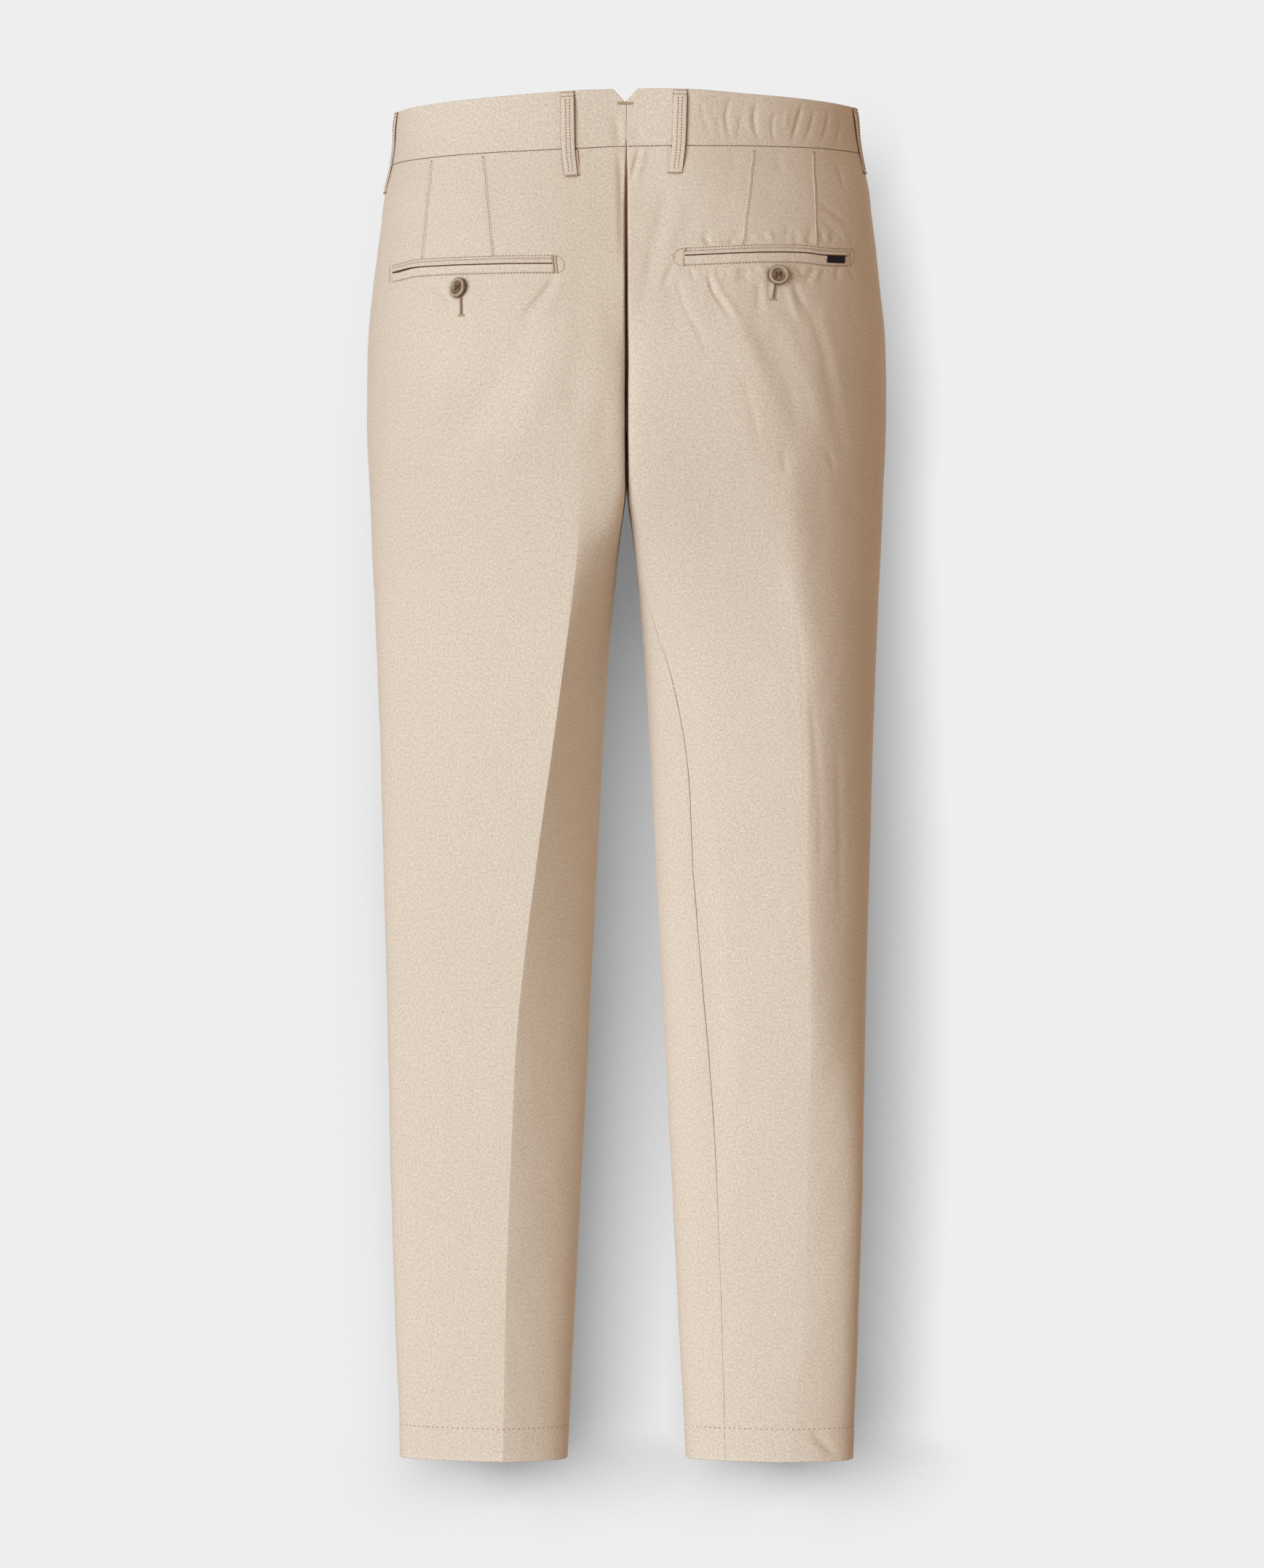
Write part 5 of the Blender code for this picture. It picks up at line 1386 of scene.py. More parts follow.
def belt_loop(name, half, foot, run_at, stand):
    """A folded strap, its folded-back end, two rows of stitches and a bar tack at each end."""
    surface = loop_surface(half, foot, run_at, stand)
    across = LOOP_WIDTH * (crowded(LOOP_COLUMNS, start=0.7, end=0.7, cells=3) - 0.5)
    levels = np.linspace(LOOP_TOP, foot, LOOP_ROWS + 1)
    u, v = np.meshgrid(across, levels)
    outside = surface(u, v)
    normals = normals_of(surface, u, v)
    normals *= np.sign(np.einsum("ijk,ijk->ij", normals, surface_outward(surface, pair(u, v))))[..., None]
    inside = outside - normals * (LOOP_WALL - 0.05)
    wear_and_highlight = LOOP_WEAR[0] * np.exp(-(LOOP_WIDTH / 2 - np.abs(u)) / LOOP_WEAR[1])
    strap = shell(f"{name}_strap", outside, inside, pair(u, v), chino, wear_and_highlight)
    # The end is folded back under the strap and shows a little at the side towards the centre back.
    under_levels = np.linspace(WAIST_SEAM - 1.5, foot + TURNED_ABOVE_FOOT, 25)
    top_run, foot_run = run_at(LOOP_TOP), run_at(foot)
    share = (LOOP_TOP - under_levels) / (LOOP_TOP - foot)
    spread = np.linspace(-LOOP_WIDTH / 2 - TURNED_OUT, LOOP_WIDTH / 2 - TURNED_IN, 9)
    runs = (top_run + (foot_run - top_run) * share)[:, None] + spread
    grid = down(under_levels, runs)
    height = down(np.clip(stand * loop_stand(share) - TURNED_UNDER, TURNED_LOW, TURNED_HIGH), runs)
    outer = skin(half, runs, grid, height - rounded(spread - spread[0], 0.4))
    inner = skin(half, runs, grid, 0.12)
    turned = shell(f"{name}_turned_end", outer, inner, pair(runs, grid), chino)
    rows = [
        running(surface, ((offset, LOOP_TOP - 5), (offset, foot + 3)), pitch=2.3) for offset in (-1.6, 1.5)
    ]
    stitches = threads(f"{name}_stitches", rows, sewing)
    half_width = LOOP_WIDTH / 2 - BAR_IN
    bar_levels = (LOOP_TOP - 0.9, LOOP_TOP - 3.5)
    top_bars = [((-half_width - 0.8, level), (half_width + 0.5, level)) for level in bar_levels]
    foot_bar = ((-half_width - 2.0, foot + 0.6), (half_width, foot + 0.3))
    bars = [running(surface, path, pitch=1.7, gap=0.4) for path in top_bars]
    bars.append(running(surface, foot_bar, pitch=1.7, gap=0.4, radius=0.3))
    tacks = threads(f"{name}_bar_tacks", bars, sewing)
    for piece in (turned, stitches, tacks):
        piece.parent = strap
    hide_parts(name)
    return strap, (LOOP_WIDTH, LOOP_TOP - foot + LOOP_FOLDED)


def belt_loops(half):
    """A half's three straps: beside the centre back, at the side and at the front."""
    side = half_name(half)
    top_x, foot_x = BACK_LOOP_X[half]

    def back_run(level):
        return run_at_x(half, level, top_x if level == LOOP_TOP else foot_x)

    def side_loop_run(level):
        return landmark(half, level, "side") - SIDE_LOOP_BACK[half]

    def front_run(level):
        return run_at_x(half, level, FRONT_LOOP_X, front=True)

    return [
        belt_loop(f"belt_loop_back_{side}", half, BACK_LOOP_FOOT, back_run, LOOP_STAND["back"]),
        belt_loop(f"belt_loop_side_{side}", half, SIDE_LOOP_FOOT[half], side_loop_run, LOOP_STAND["side"]),
        belt_loop(f"belt_loop_front_{side}", half, FRONT_LOOP_FOOT, front_run, LOOP_STAND["front"]),
    ]


# ---------- Pockets, darts and fly ----------

POCKET_X = {LEFT: (56.0, 183.0), RIGHT: (44.6, 172.0)}
POCKET_LEVEL = {LEFT: (-112.8, -110.8), RIGHT: (-105.8, -100.8)}
WELT_HEIGHTS = {LEFT: (4.3, 7.0), RIGHT: (3.6, 7.2)}  # above and below the slit
TAB_X, TAB_HEIGHT = (155.3, 169.3), 5.2
TAB_BELOW, TAB_PROUD, TAB_UNDER, TAB_ROUND = 0.3, 1.6, 0.9, 0.35
# The stitched frame of a back pocket: how far it lies above and below the welts, and its long rows' points.
FRAME_ABOVE, FRAME_BELOW, FRAME_SHARES = 2.1, 0.45, (0, 0.3, 0.7, 1)
END_STITCH = {"pitch": 1.5, "gap": 0.35, "radius": 0.17}
FINE_STITCH = {"pitch": 3.0, "gap": 0.3, "radius": 0.12, "rise": 0.1}
# The slit's gape: everywhere, how much more near the outer end, where that is, and its reach.
SLIT_GAPE, SLIT_OPENS, SLIT_OPEN_AT, SLIT_OPEN_REACH = 0.34, {LEFT: 0.5, RIGHT: 0.15}, 0.93, 0.07
WELT_FLAT, WELT_PROUD, WELT_LIP = 0.06, 0.75, 0.5  # a welt's least height, its rise and the slit edge's rise
WELT_WAVES = ((0.10, 7.3), (0.07, 3.1), (0.05, 1.7))  # heights and lengths of its unevenness
POCKET_PAST = 0.2  # the share of a pocket's length that its surface goes on past both ends
# The slit's bend: how far it rises over the straight line, at shares of its length from the inner end.
POCKET_BENDS = {
    LEFT: (
        (-0.2, 1.3), (0.0, 1.35), (0.25, 1.3), (0.5, 1.0), (0.75, 0.9), (0.86, 0.5), (0.93, -0.9),
        (1.0, -2.0), (1.2, -3.0),
    ),
    RIGHT: (
        (-0.2, 0.0), (0.0, 0.1), (0.3, 0.4), (0.5, 0.6), (0.72, 0.0), (0.86, -1.7), (0.93, -2.0),
        (1.0, -1.7), (1.2, -1.5),
    ),
}

# Darts of the back panels: their top and foot as (distance from the centre plane, level), and the side
# that the fold faces.
DARTS = {
    "left_outer": (LEFT, (150.7, -22.5), (157.5, -103.0), 1),
    "left_inner": (LEFT, (112.7, -22.5), (104.7, -104.5), -1),
    "right_inner": (RIGHT, (100.2, -23.5), (91.3, -97.0), -1),
    "right_outer": (RIGHT, (144.3, -23.0), (146.5, -95.5), 1),
}


DART_ROWS, DART_WIDTH = 90, 3.2
# A dart's (distance from its sewn line, height).
DART_PROFILE = (
    (0.0, 0.0), (0.25, 0.30), (0.6, 0.42), (1.1, 0.40), (1.8, 0.26), (2.5, 0.12), (DART_WIDTH, 0.0),
)
DART_FLAT, DART_SUNK, DART_STITCHES = 0.03, 0.25, 1.5  # its least height, depth and stitches' place
DART_FADE, DART_ENDS = 14, 0.25  # how fast it rises at its ends, and what is left of it there


def run_surface(half, out=0.0):
    """The cloth's surface as a function of run and level."""

    def surface(run, level):
        return skin(half, run, level, out)

    return surface


def pocket_surface(half):
    """The back panel's surface as a function of millimetres along the pocket and the rise over its slit."""
    x_in, x_out = POCKET_X[half]
    length = x_out - x_in
    shares, bends = np.array(POCKET_BENDS[half]).T
    bend = table(("level", "rise"), np.stack([shares, bends], axis=1)[::-1])
    level_in, level_out = POCKET_LEVEL[half]
    anchors = np.linspace(-POCKET_PAST, 1 + POCKET_PAST, 70)
    levels = level_in + (level_out - level_in) * anchors
    runs = [run_at_x(half, level, x_in + length * share) for level, share in zip(levels, anchors)]

    def surface(along, rise):
        along, rise = np.broadcast_arrays(np.asarray(along, float), np.asarray(rise, float))
        share = along / length
        level = level_in + (level_out - level_in) * share + read(bend, "rise", share) + rise
        return skin(half, np.interp(share, anchors, runs), level)

    return surface


def pocket_strip(name, half, u, v, height, floor, material):
    """A strip of cloth on the pocket: grids of millimetres along it and rise over the slit."""
    ground = pocket_surface(half)
    base = ground(u, v)
    normals = normals_of(ground, u, v) * half
    outside, inside = base + normals * height[..., None], base + normals * floor
    return shell(name, outside, inside, pair(u * half, v + 3), material)


def back_pocket(half):
    """Two rounded welts with a dark strip of painted shade in the slit between them, the stitched frame, and
    tacks at the ends.
    """
    side = half_name(half)
    length = POCKET_X[half][1] - POCKET_X[half][0]
    above, below = WELT_HEIGHTS[half]
    along = length * crowded(96, start=0.7, end=0.7)
    off_open = (along / length - SLIT_OPEN_AT) / SLIT_OPEN_REACH
    gape = SLIT_GAPE + SLIT_OPENS[half] * np.exp(-(off_open**2))
    pieces = []
    for place, sign, reach in (("upper", 1, above), ("lower", -1, below)):
        across = crowded(14, start=0.7, end=0.7, cells=3)[:, None]
        v = sign * (gape + (reach - gape) * across)
        u = np.broadcast_to(along, v.shape)
        slit_edge, outer_edge = np.abs(v) - gape, reach - np.abs(v)
        ends = np.minimum(u, length - u)
        height = WELT_FLAT + WELT_PROUD * ease(outer_edge / 1.1) + WELT_LIP * ease(1 - slit_edge / 3.2)
        height = height - rounded(slit_edge, WELT_PROUD) - WELT_LIP * ease(1 - ends / 1.1)
        wave = sum(size * np.sin(u / pitch + shift) for (size, pitch), shift in zip(WELT_WAVES, (half, 2, 0)))
        height = height + wave * ease(outer_edge / 1.3)
        if sign < 0:
            u, v, height = u[::-1], v[::-1], height[::-1]
        name = f"back_pocket_welt_{place}_{side}"
        welt = pocket_strip(f"{name}_cloth", half, u, v, height, 0.02, chino)
        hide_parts(name)
        pieces.append((welt, (length, reach)))
    u, v = np.meshgrid(along[1:-1], np.linspace(-0.9, 0.9, 5))
    # Painted shade: a dark strip laid in the slit between the welts.
    slit = pocket_strip(f"pocket_slit_shade_{side}", half, u, v, np.full(u.shape, 0.30), 0.05, slit_shade_cloth)
    ground = pocket_surface(half)
    top, foot = above + FRAME_ABOVE, -below - FRAME_BELOW
    long_rows = [[(length * share, rise) for share in FRAME_SHARES] for rise in (top, foot)]
    round_end = arc_path(-1.2, (top + foot) / 2, 7.2, (top - foot) / 2)
    rows = [running(ground, path, pitch=2.5, gap=0.7) for path in long_rows]
    rows += [
        running(ground, round_end, **END_STITCH),
        running(ground, ((length + 1.9, top), (length + 1.9, foot)), pitch=1.8, gap=0.4),
        running(ground, ((0, above + 0.1), (length, above + 0.1)), **FINE_STITCH),
    ]
    if half == RIGHT:
        rows.append(running(ground, arc_path(length + 2, 0, -3.4, 6.6), **END_STITCH))
    stitches = threads(f"back_pocket_stitches_{side}", rows, sewing)
    bars = [satin(ground, ((0.2, foot), (0.2, top)), 1.4, rise=0.9)]
    if half == LEFT:
        bars.append(satin(ground, ((-2.3, foot), (-2.3, top)), 1.0, rise=0.5))
    tacks = threads(f"back_pocket_tacks_{side}", bars, tack)
    for piece in (slit, stitches, tacks):
        piece.parent = pieces[0][0]
    return pieces


def arc_path(x, z, width, height):
    """Half an ellipse that bulges towards smaller x, from its top to its foot."""
    angle = np.linspace(math.pi / 2, -math.pi / 2, 25)
    return np.stack([x - width * np.cos(angle), z + height * np.sin(angle)], axis=1)


def label_tab():
    """A plain dark tape folded over, its edges a little raised."""
    start = TAB_X[0] - POCKET_X[RIGHT][0]
    along = start + (TAB_X[1] - TAB_X[0]) * crowded(28, start=0.6, end=0.6, cells=3)
    rises = -TAB_BELOW - TAB_HEIGHT * crowded(12, start=0.6, end=0.6, cells=3)
    u, v = np.meshgrid(along, rises)
    edge = np.minimum(np.minimum(u - along[0], along[-1] - u), np.minimum(rises[0] - v, v - rises[-1]))
    height = TAB_PROUD - rounded(edge, TAB_ROUND)
    made = pocket_strip("pocket_label_tape", RIGHT, u, v, height, TAB_UNDER, tape)
    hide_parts("pocket_label")
    return made


def dart(name, half, top, foot, side):
    """A sewn dart: a narrow pressed fold, high on one side and flush on the other, with stitches beside it."""
    share = np.linspace(0, 1, DART_ROWS + 1)
    levels = top[1] + (foot[1] - top[1]) * share
    away = top[0] + (foot[0] - top[0]) * share
    wobble = 0.18 * np.sin(levels / 5.3 + top[0]) + 0.12 * np.sin(levels / 2.9)
    centre = np.array([run_at_x(half, z, x) for x, z in zip(away, levels)]) + wobble
    profile = np.array(DART_PROFILE)
    runs = centre[:, None] + side * profile[:, 0]
    grid = down(levels, runs)
    fade = ease(share * DART_FADE)[:, None] * ease((1 - share) * DART_FADE)[:, None]
    height = DART_FLAT + profile[:, 1] * (DART_ENDS + (1 - DART_ENDS) * fade)
    outside, inside = skin(half, runs, grid, height), skin(half, runs, grid, -DART_SUNK)
    uv = pair(half * runs, grid)
    made = shell(f"dart_{name}", outside, inside, uv, chino)
    path = pair(centre + side * DART_STITCHES, levels)
    row = running(run_surface(half, 0.32), path, pitch=2.4, gap=0.8, radius=0.17)
    stitches = threads(f"dart_{name}_stitches", [row], sewing)
    stitches.parent = made
    return made


# Distance from the centre plane at the top and the foot, and their levels.
BUTTONHOLES = {LEFT: (127.6, 127.2, -136.5, -151.5), RIGHT: (114.9, 113.4, -127.0, -140.0)}
CUT_WIDTH, CUT_PROUD, CUT_SUNK = 0.44, 0.16, 0.1


def buttonhole(half):
    """A worked slit: two rows of close stitches with a dark strip of painted shade for the cut between them
    and a bar at the foot.
    """
    away_top, away_foot, top, foot = BUTTONHOLES[half]
    run_top, run_foot = run_at_x(half, top, away_top), run_at_x(half, foot, away_foot)
    surface = run_surface(half)
    sides = [((run_top + off, top), (run_foot + off, foot + 2.0)) for off in (-0.95, 0.95)]
    groups = [satin(surface, path, 1.2, pitch=0.6, radius=0.2, rise=0.4) for path in sides]
    bar = ((run_foot - 2.6, foot + 0.8), (run_foot + 2.6, foot + 0.8))
    groups.append(satin(surface, bar, 1.7, rise=0.45))
    made = threads(f"buttonhole_{half_name(half)}", groups, tack)
    # Painted shade: a dark strip laid in the cut between the stitched edges.
    share = np.linspace(0, 1, 12)[:, None]
    levels = top + (foot + 2 - top) * share
    u = run_top + (run_foot - run_top) * share + np.linspace(-CUT_WIDTH / 2, CUT_WIDTH / 2, 4)
    v = np.broadcast_to(levels, u.shape)
    name = f"buttonhole_cut_shade_{half_name(half)}"
    outside, inside = skin(half, u, v, CUT_PROUD), skin(half, u, v, -CUT_SUNK)
    cut = shell(name, outside, inside, pair(u, v), slit_shade_cloth)
    cut.parent = made
    return made


FLY_WIDTH, FLY_PAST, FLY_TURN, FLY_FOOT = 36.0, 4.0, -128.0, -172.0
FLY_THIN, FLY_RISE, FLY_PAST_HEIGHT, FLY_ROUND = 0.1, 1.3, 1.32, 0.7


def fly_width(level):
    """The flap's width: full at first, then the rest of an ellipse towards its foot."""
    turn = np.clip((FLY_TURN - level) / (FLY_TURN - FLY_FOOT), 0, 1)
    return FLY_WIDTH * np.sqrt(1 - 0.9 * turn**2)


def fly_flap():
    """The fly's overlap: flush at its curved outer edge, and a folded edge past the centre front."""
    levels = np.linspace(WAIST_SEAM - 0.5, FLY_FOOT, 91)
    width = fly_width(levels)
    shares = 1 - crowded(34, start=0.6, end=0.2)
    own_runs = np.array(
        [
            [run_at_x(LEFT, level, -wide * share, front=True) for share in shares[:-1]]
            for level, wide in zip(levels, width)
        ]
    )
    past = FLY_PAST * crowded(8, end=0.8, cells=3)
    past_runs = np.array([[run_at_x(RIGHT, level, x, front=True) for x in past] for level in levels])
    own_grid = down(levels, own_runs)
    past_grid = down(levels, past_runs)
    rise = 0.12 + FLY_RISE * ease((1 - shares[:-1]) * 1.4)
    end = rounded(FLY_PAST - past, FLY_ROUND)
    foot = ease((levels - FLY_FOOT) / 8)[:, None]
    skins = [
        skin(LEFT, own_runs, own_grid, FLY_THIN + (rise - FLY_THIN) * foot),
        skin(RIGHT, past_runs, past_grid, FLY_THIN + (FLY_PAST_HEIGHT - end) * foot),
    ]
    lowers = [skin(LEFT, own_runs, own_grid, 0.02), skin(RIGHT, past_runs, past_grid, 0.35 * foot + 0.02)]
    own_u = np.broadcast_to(-width[:, None] * shares[:-1], own_runs.shape)
    u = np.concatenate([own_u, np.broadcast_to(past, past_runs.shape)], axis=1)
    uv = pair(-u, down(levels, u))
    made = shell("fly_flap_cloth", np.concatenate(skins, axis=1), np.concatenate(lowers, axis=1), uv, chino)
    stitch_levels = np.linspace(WAIST_SEAM - 1.5, FLY_FOOT + 2.5, 60)
    groups = []
    for inset in (2.2, 5.0):
        runs = [run_at_x(LEFT, level, fly_width(level) - inset, front=True) for level in stitch_levels]
        groups.append(running(run_surface(LEFT, 0.45), pair(runs, stitch_levels), pitch=2.6))
    foot_run = run_at_x(LEFT, FLY_FOOT + 3, 5.0, front=True)
    bar = ((foot_run - 4, FLY_FOOT + 4), (foot_run + 2, FLY_FOOT + 2))
    groups.append(satin(run_surface(LEFT, 0.5), bar, 1.6))
    stitches = threads("fly_stitches", groups, sewing)
    stitches.parent = made
    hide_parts("fly_flap")
    return made, (FLY_WIDTH + FLY_PAST, WAIST_SEAM - FLY_FOOT)


# ---------- Seam stitches ----------


def level_path(start, end, level, points=200):
    """Places (run, level) from one run to another at one level."""
    return pair(np.linspace(start, end, points), np.full(points, level))


def waist_stitches(half):
    """The line of stitches sunk in the waistband's seam, all the way round."""
    level = WAIST_SEAM + 0.1
    end = landmark(half, level, "end")
    path = level_path(1.5, end - 4, level)
    row = running(run_surface(half), path, pitch=3.3, gap=1.6, radius=0.24, rise=0.0)
    return threads(f"waist_stitches_{half_name(half)}", [row], sewing)


def hem_stitches(half):
    """Small stitches round the hem, at the top of its turn-up."""
    level = HEM + HEM_DEPTH
    end = landmark(half, level, "end")
    path = level_path(0.5, end - 0.5, level, 300)
    row = running(run_surface(half, -0.1), path, pitch=4.2, gap=2.6, radius=0.17, rise=0.2)
    return threads(f"hem_stitches_{half_name(half)}", [row], sewing)


def pocket_mouth_stitches(half):
    """Two rows beside the slanted pocket edge, with a bar tack at each end."""
    levels = np.linspace(WAIST_SEAM - 2, POCKET_FOOT + 12, 60)
    groups = []
    for inset, out in ((1.6, MOUTH_PROUD - 0.1), (6.2, 0.35)):
        runs = [leg_runs(half, level)[2] + float(pocket_inset(level)) + inset for level in levels]
        surface = run_surface(half, out)
        groups.append(running(surface, pair(runs, levels), pitch=2.6))
    surface = run_surface(half, 0.5)
    for level in (WAIST_SEAM - 8, POCKET_FOOT + 14):
        run = leg_runs(half, level)[2] + float(pocket_inset(level)) + 0.5
        groups.append(satin(surface, ((run - 0.5, level), (run + 6.5, level - 0.5)), 1.6))
    return threads(f"pocket_mouth_stitches_{half_name(half)}", groups, sewing)


def centre_tack():
    """The bar tack under the notch."""
    level = BAND_TOP - NOTCH_DEPTH - 0.7

    def across(x, z):
        """Both halves in one: x is the distance from the centre plane, to the right."""
        right, left = skin(RIGHT, np.maximum(x, 0), z), skin(LEFT, np.maximum(-x, 0), z)
        return np.where(x[..., None] >= 0, right, left)

    return threads("centre_back_tack", [satin(across, ((-6.8, level), (4.9, level - 0.4)), 1.9)], tack)


# ---------- Buttons ----------

# (Radius, height) round the button's section, from the middle of its face to the middle of its back.
BUTTON_PROFILE = (
    (0.0, 1.75), (3.9, 1.75), (4.6, 1.95), (5.3, 2.55), (5.9, 2.95), (6.6, 3.05), (7.3, 2.85),
    (7.85, 2.35), (8.0, 1.7), (7.8, 1.0), (7.2, 0.5), (6.2, 0.2), (4.5, 0.0), (0.0, 0.0),
)
SHANK_PROFILE = ((0.0, 1.6), (1.9, 1.6), (1.5, 0.6), (1.9, -0.2), (2.2, -0.7), (0.0, -0.7))
BUTTON_SIDES, SHANK_SIDES, HOLE_SIDES, BUTTON_SHARP = 72, 20, 20, 35
HOLE_CIRCLE, HOLE_RADIUS, HOLE_CUTTER = 2.1, 0.85, 20.0
# The threads through the holes: their level, radius and rise, and how far apart they lie, along a direction.
THREAD_LEVEL, BUTTON_THREAD_RADIUS, BUTTON_THREAD_RISE = 1.72, 0.22, 0.42
THREAD_SPREAD, THREAD_SHIFT = (-0.22, 0.1, 0.4), (0.6, -0.5)
RIM_HIGHLIGHT_FROM, RIM_HIGHLIGHT_TO, RIM_HIGHLIGHT = 2.7, 3.0, 0.8  # heights between which the rim's top gets a painted highlight, and how much
BUTTON_STAND = 0.8
BACK_BUTTON = {LEFT: (129.2, -129.3, -14.0), RIGHT: (117.2, -120.4, -20.0)}
WAIST_BUTTON = (20.0, 0.0, 0.0)


def button(name, half, place, front=False):
    """A turned four-hole button with a raised rim, sewn on with crossed threads and a wound shank."""
    x, level, turn = place
    run = np.array([run_at_x(half, level, x, front)])
    level = np.array([level])
    normal = Vector(cloth_normals(half, run, level)[0])
    normal.rotate(Matrix.Rotation(math.radians(turn), 3, "Z"))
    point = Vector(cloth(half, run, level)[0] + cloth_normals(half, run, level)[0] * BUTTON_STAND)
    place = Matrix.Translation(point * MM) @ normal.to_track_quat("Z", "Y").to_matrix().to_4x4()
    body = turned(name, BUTTON_PROFILE, BUTTON_SIDES, horn)
    cut_holes(body)
    body.data.transform(place)
    shade_by_angle(body, BUTTON_SHARP)
    corners = np.radians([45, 135, 225, 315])
    holes = HOLE_CIRCLE * pair(np.cos(corners), np.sin(corners))

    def flat(u, v):
        """The button's face as a surface in the garment's frame."""
        local = np.stack([u, v, np.full_like(u, THREAD_LEVEL)], axis=-1)
        rotation = np.array(place.to_3x3())
        return local @ rotation.T + np.array(point)

    crossings = ((0, 2), (1, 3)) if front else ((0, 3), (1, 2), (0, 2))
    shifts = [shift * np.array(THREAD_SHIFT) for shift in THREAD_SPREAD]
    starts = np.array([holes[first] + shift for first, _ in crossings for shift in shifts])
    ends = np.array([holes[last] + shift for _, last in crossings for shift in shifts])
    group = (flat, starts, ends, BUTTON_THREAD_RADIUS, BUTTON_THREAD_RISE)
    cross = threads(f"{name}_thread", [group], brown_thread)
    shank = turned(f"{name}_shank", SHANK_PROFILE, SHANK_SIDES, tack)
    shank.data.transform(place)
    for piece in (cross, shank):
        piece.parent = body
    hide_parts(name.replace("_horn", ""))
    return body


def turned(name, profile, sides, material):
    """A turned solid: the profile's (radius, height) points carried round the vertical axis."""
    profile = np.array(profile, float)
    angle = np.arange(sides) * 2 * math.pi / sides
    ring = profile[1:-1]
    points = np.stack(
        [
            ring[:, :1] * np.cos(angle),
            ring[:, :1] * np.sin(angle),
            np.broadcast_to(ring[:, 1:], (len(ring), sides)),
        ], axis=-1
    )
    points = np.concatenate([points.reshape(-1, 3), [(0, 0, profile[0, 1]), (0, 0, profile[-1, 1])]])
    index = np.arange(len(ring) * sides).reshape(len(ring), sides)
    after = np.roll(index, -1, axis=1)
    quads = np.stack([index[:-1], index[1:], after[1:], after[:-1]], axis=-1).reshape(-1, 4)
    top, foot = len(points) - 2, len(points) - 1
    lid = np.stack([np.full(sides, top), index[0], after[0]], axis=1)
    base = np.stack([np.full(sides, foot), after[-1], index[-1]], axis=1)
    # Painted highlight: points high on the rim get a share that makes them paler in the horn's colour.
    raised = np.clip((ring[:, 1] - RIM_HIGHLIGHT_FROM) / (RIM_HIGHLIGHT_TO - RIM_HIGHLIGHT_FROM), 0, 1)
    wear_and_highlight = np.concatenate([np.repeat(raised, sides), [0, 0]])
    made = build(name, points, [quads, lid, base], material, wear_and_highlight=RIM_HIGHLIGHT * wear_and_highlight)
    turn_outwards(made)
    return made


def cut_holes(body):
    """Cuts the four thread holes through a button."""
    holes = bmesh.new()
    for corner in range(4):
        angle = math.radians(45 + 90 * corner)
        place = Vector((math.cos(angle), math.sin(angle), 0)) * HOLE_CIRCLE * MM
        radius = HOLE_RADIUS * MM
        bmesh.ops.create_cone(
            holes,
            cap_ends=True,
            segments=HOLE_SIDES,
            radius1=radius,
            radius2=radius,
            depth=HOLE_CUTTER * MM,
            matrix=Matrix.Translation(place),
        )
    mesh = bpy.data.meshes.new("holes")
    holes.to_mesh(mesh)
    holes.free()
    cutter = bpy.data.objects.new("holes", mesh)
    bpy.context.scene.collection.objects.link(cutter)
    cut = body.modifiers.new("holes", "BOOLEAN")
    cut.object = cutter
    bpy.context.view_layer.update()
    made = bpy.data.meshes.new_from_object(body.evaluated_get(bpy.context.evaluated_depsgraph_get()))
    body.modifiers.clear()
    body.data = made
    bpy.data.objects.remove(cutter)


def shade_by_angle(made, degrees):
    """Smooth faces, with an edge kept sharp where it bends more than an angle."""
    made.data.shade_smooth()
    made.data.set_sharp_from_angle(angle=math.radians(degrees))


# ---------- Putting the garment together ----------


LEAST_SIZE_M, LEAST_SHARE = 0.0101, 0.31  # the least that a sheet's side and its share of its box may be


def declare(piece, cut, node=None):
    """Rides a cloth piece on the garment's body and works out the size that it was cut to."""
    if node:
        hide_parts(node)
    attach(piece, "root")
    width, length = (max(value * MM, LEAST_SIZE_M) for value in cut)
    share = surface_area(piece) / 2 / (width * length)


def surface_area(piece):
    """The sum of a mesh's triangles, each half the length of its sides' cross product."""
    mesh = piece.data
    mesh.calc_loop_triangles()
    points = np.empty(len(mesh.vertices) * 3)
    mesh.vertices.foreach_get("co", points)
    corners = np.empty(len(mesh.loop_triangles) * 3, np.int32)
    mesh.loop_triangles.foreach_get("vertices", corners)
    triangles = points.reshape(-1, 3)[corners.reshape(-1, 3)]
    cross = np.cross(triangles[:, 1] - triangles[:, 0], triangles[:, 2] - triangles[:, 0])
    return float(np.linalg.norm(cross, axis=1).sum() / 2)


def loose(piece):
    """Rides a piece that isn't a sheet on the garment's body."""
    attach(piece, "root")


for half in (LEFT, RIGHT):
    side = half_name(half)
    for face in ("back", "front"):
        piece, cut = leg_panel(half, face)
        declare(piece, cut, f"{face}_{side}")
    piece, cut = pocket_facing(half)
    declare(piece, cut, f"front_pocket_facing_{side}")
    piece, cut = waistband(half)
    declare(piece, cut, f"waistband_{side}")
    for strap, cut in belt_loops(half):
        declare(strap, cut)
    for welt, cut in back_pocket(half):
        declare(welt, cut)
    for sewn in (waist_stitches, hem_stitches, pocket_mouth_stitches, buttonhole):
        loose(sewn(half))
    loose(button(f"back_button_{side}_horn", half, BACK_BUTTON[half]))
for name, (half, top, foot, side) in DARTS.items():
    loose(dart(name, half, top, foot, side))
piece, cut = fly_flap()
declare(piece, cut)
loose(label_tab())
loose(centre_tack())
loose(button("waist_button_horn", RIGHT, WAIST_BUTTON, front=True))

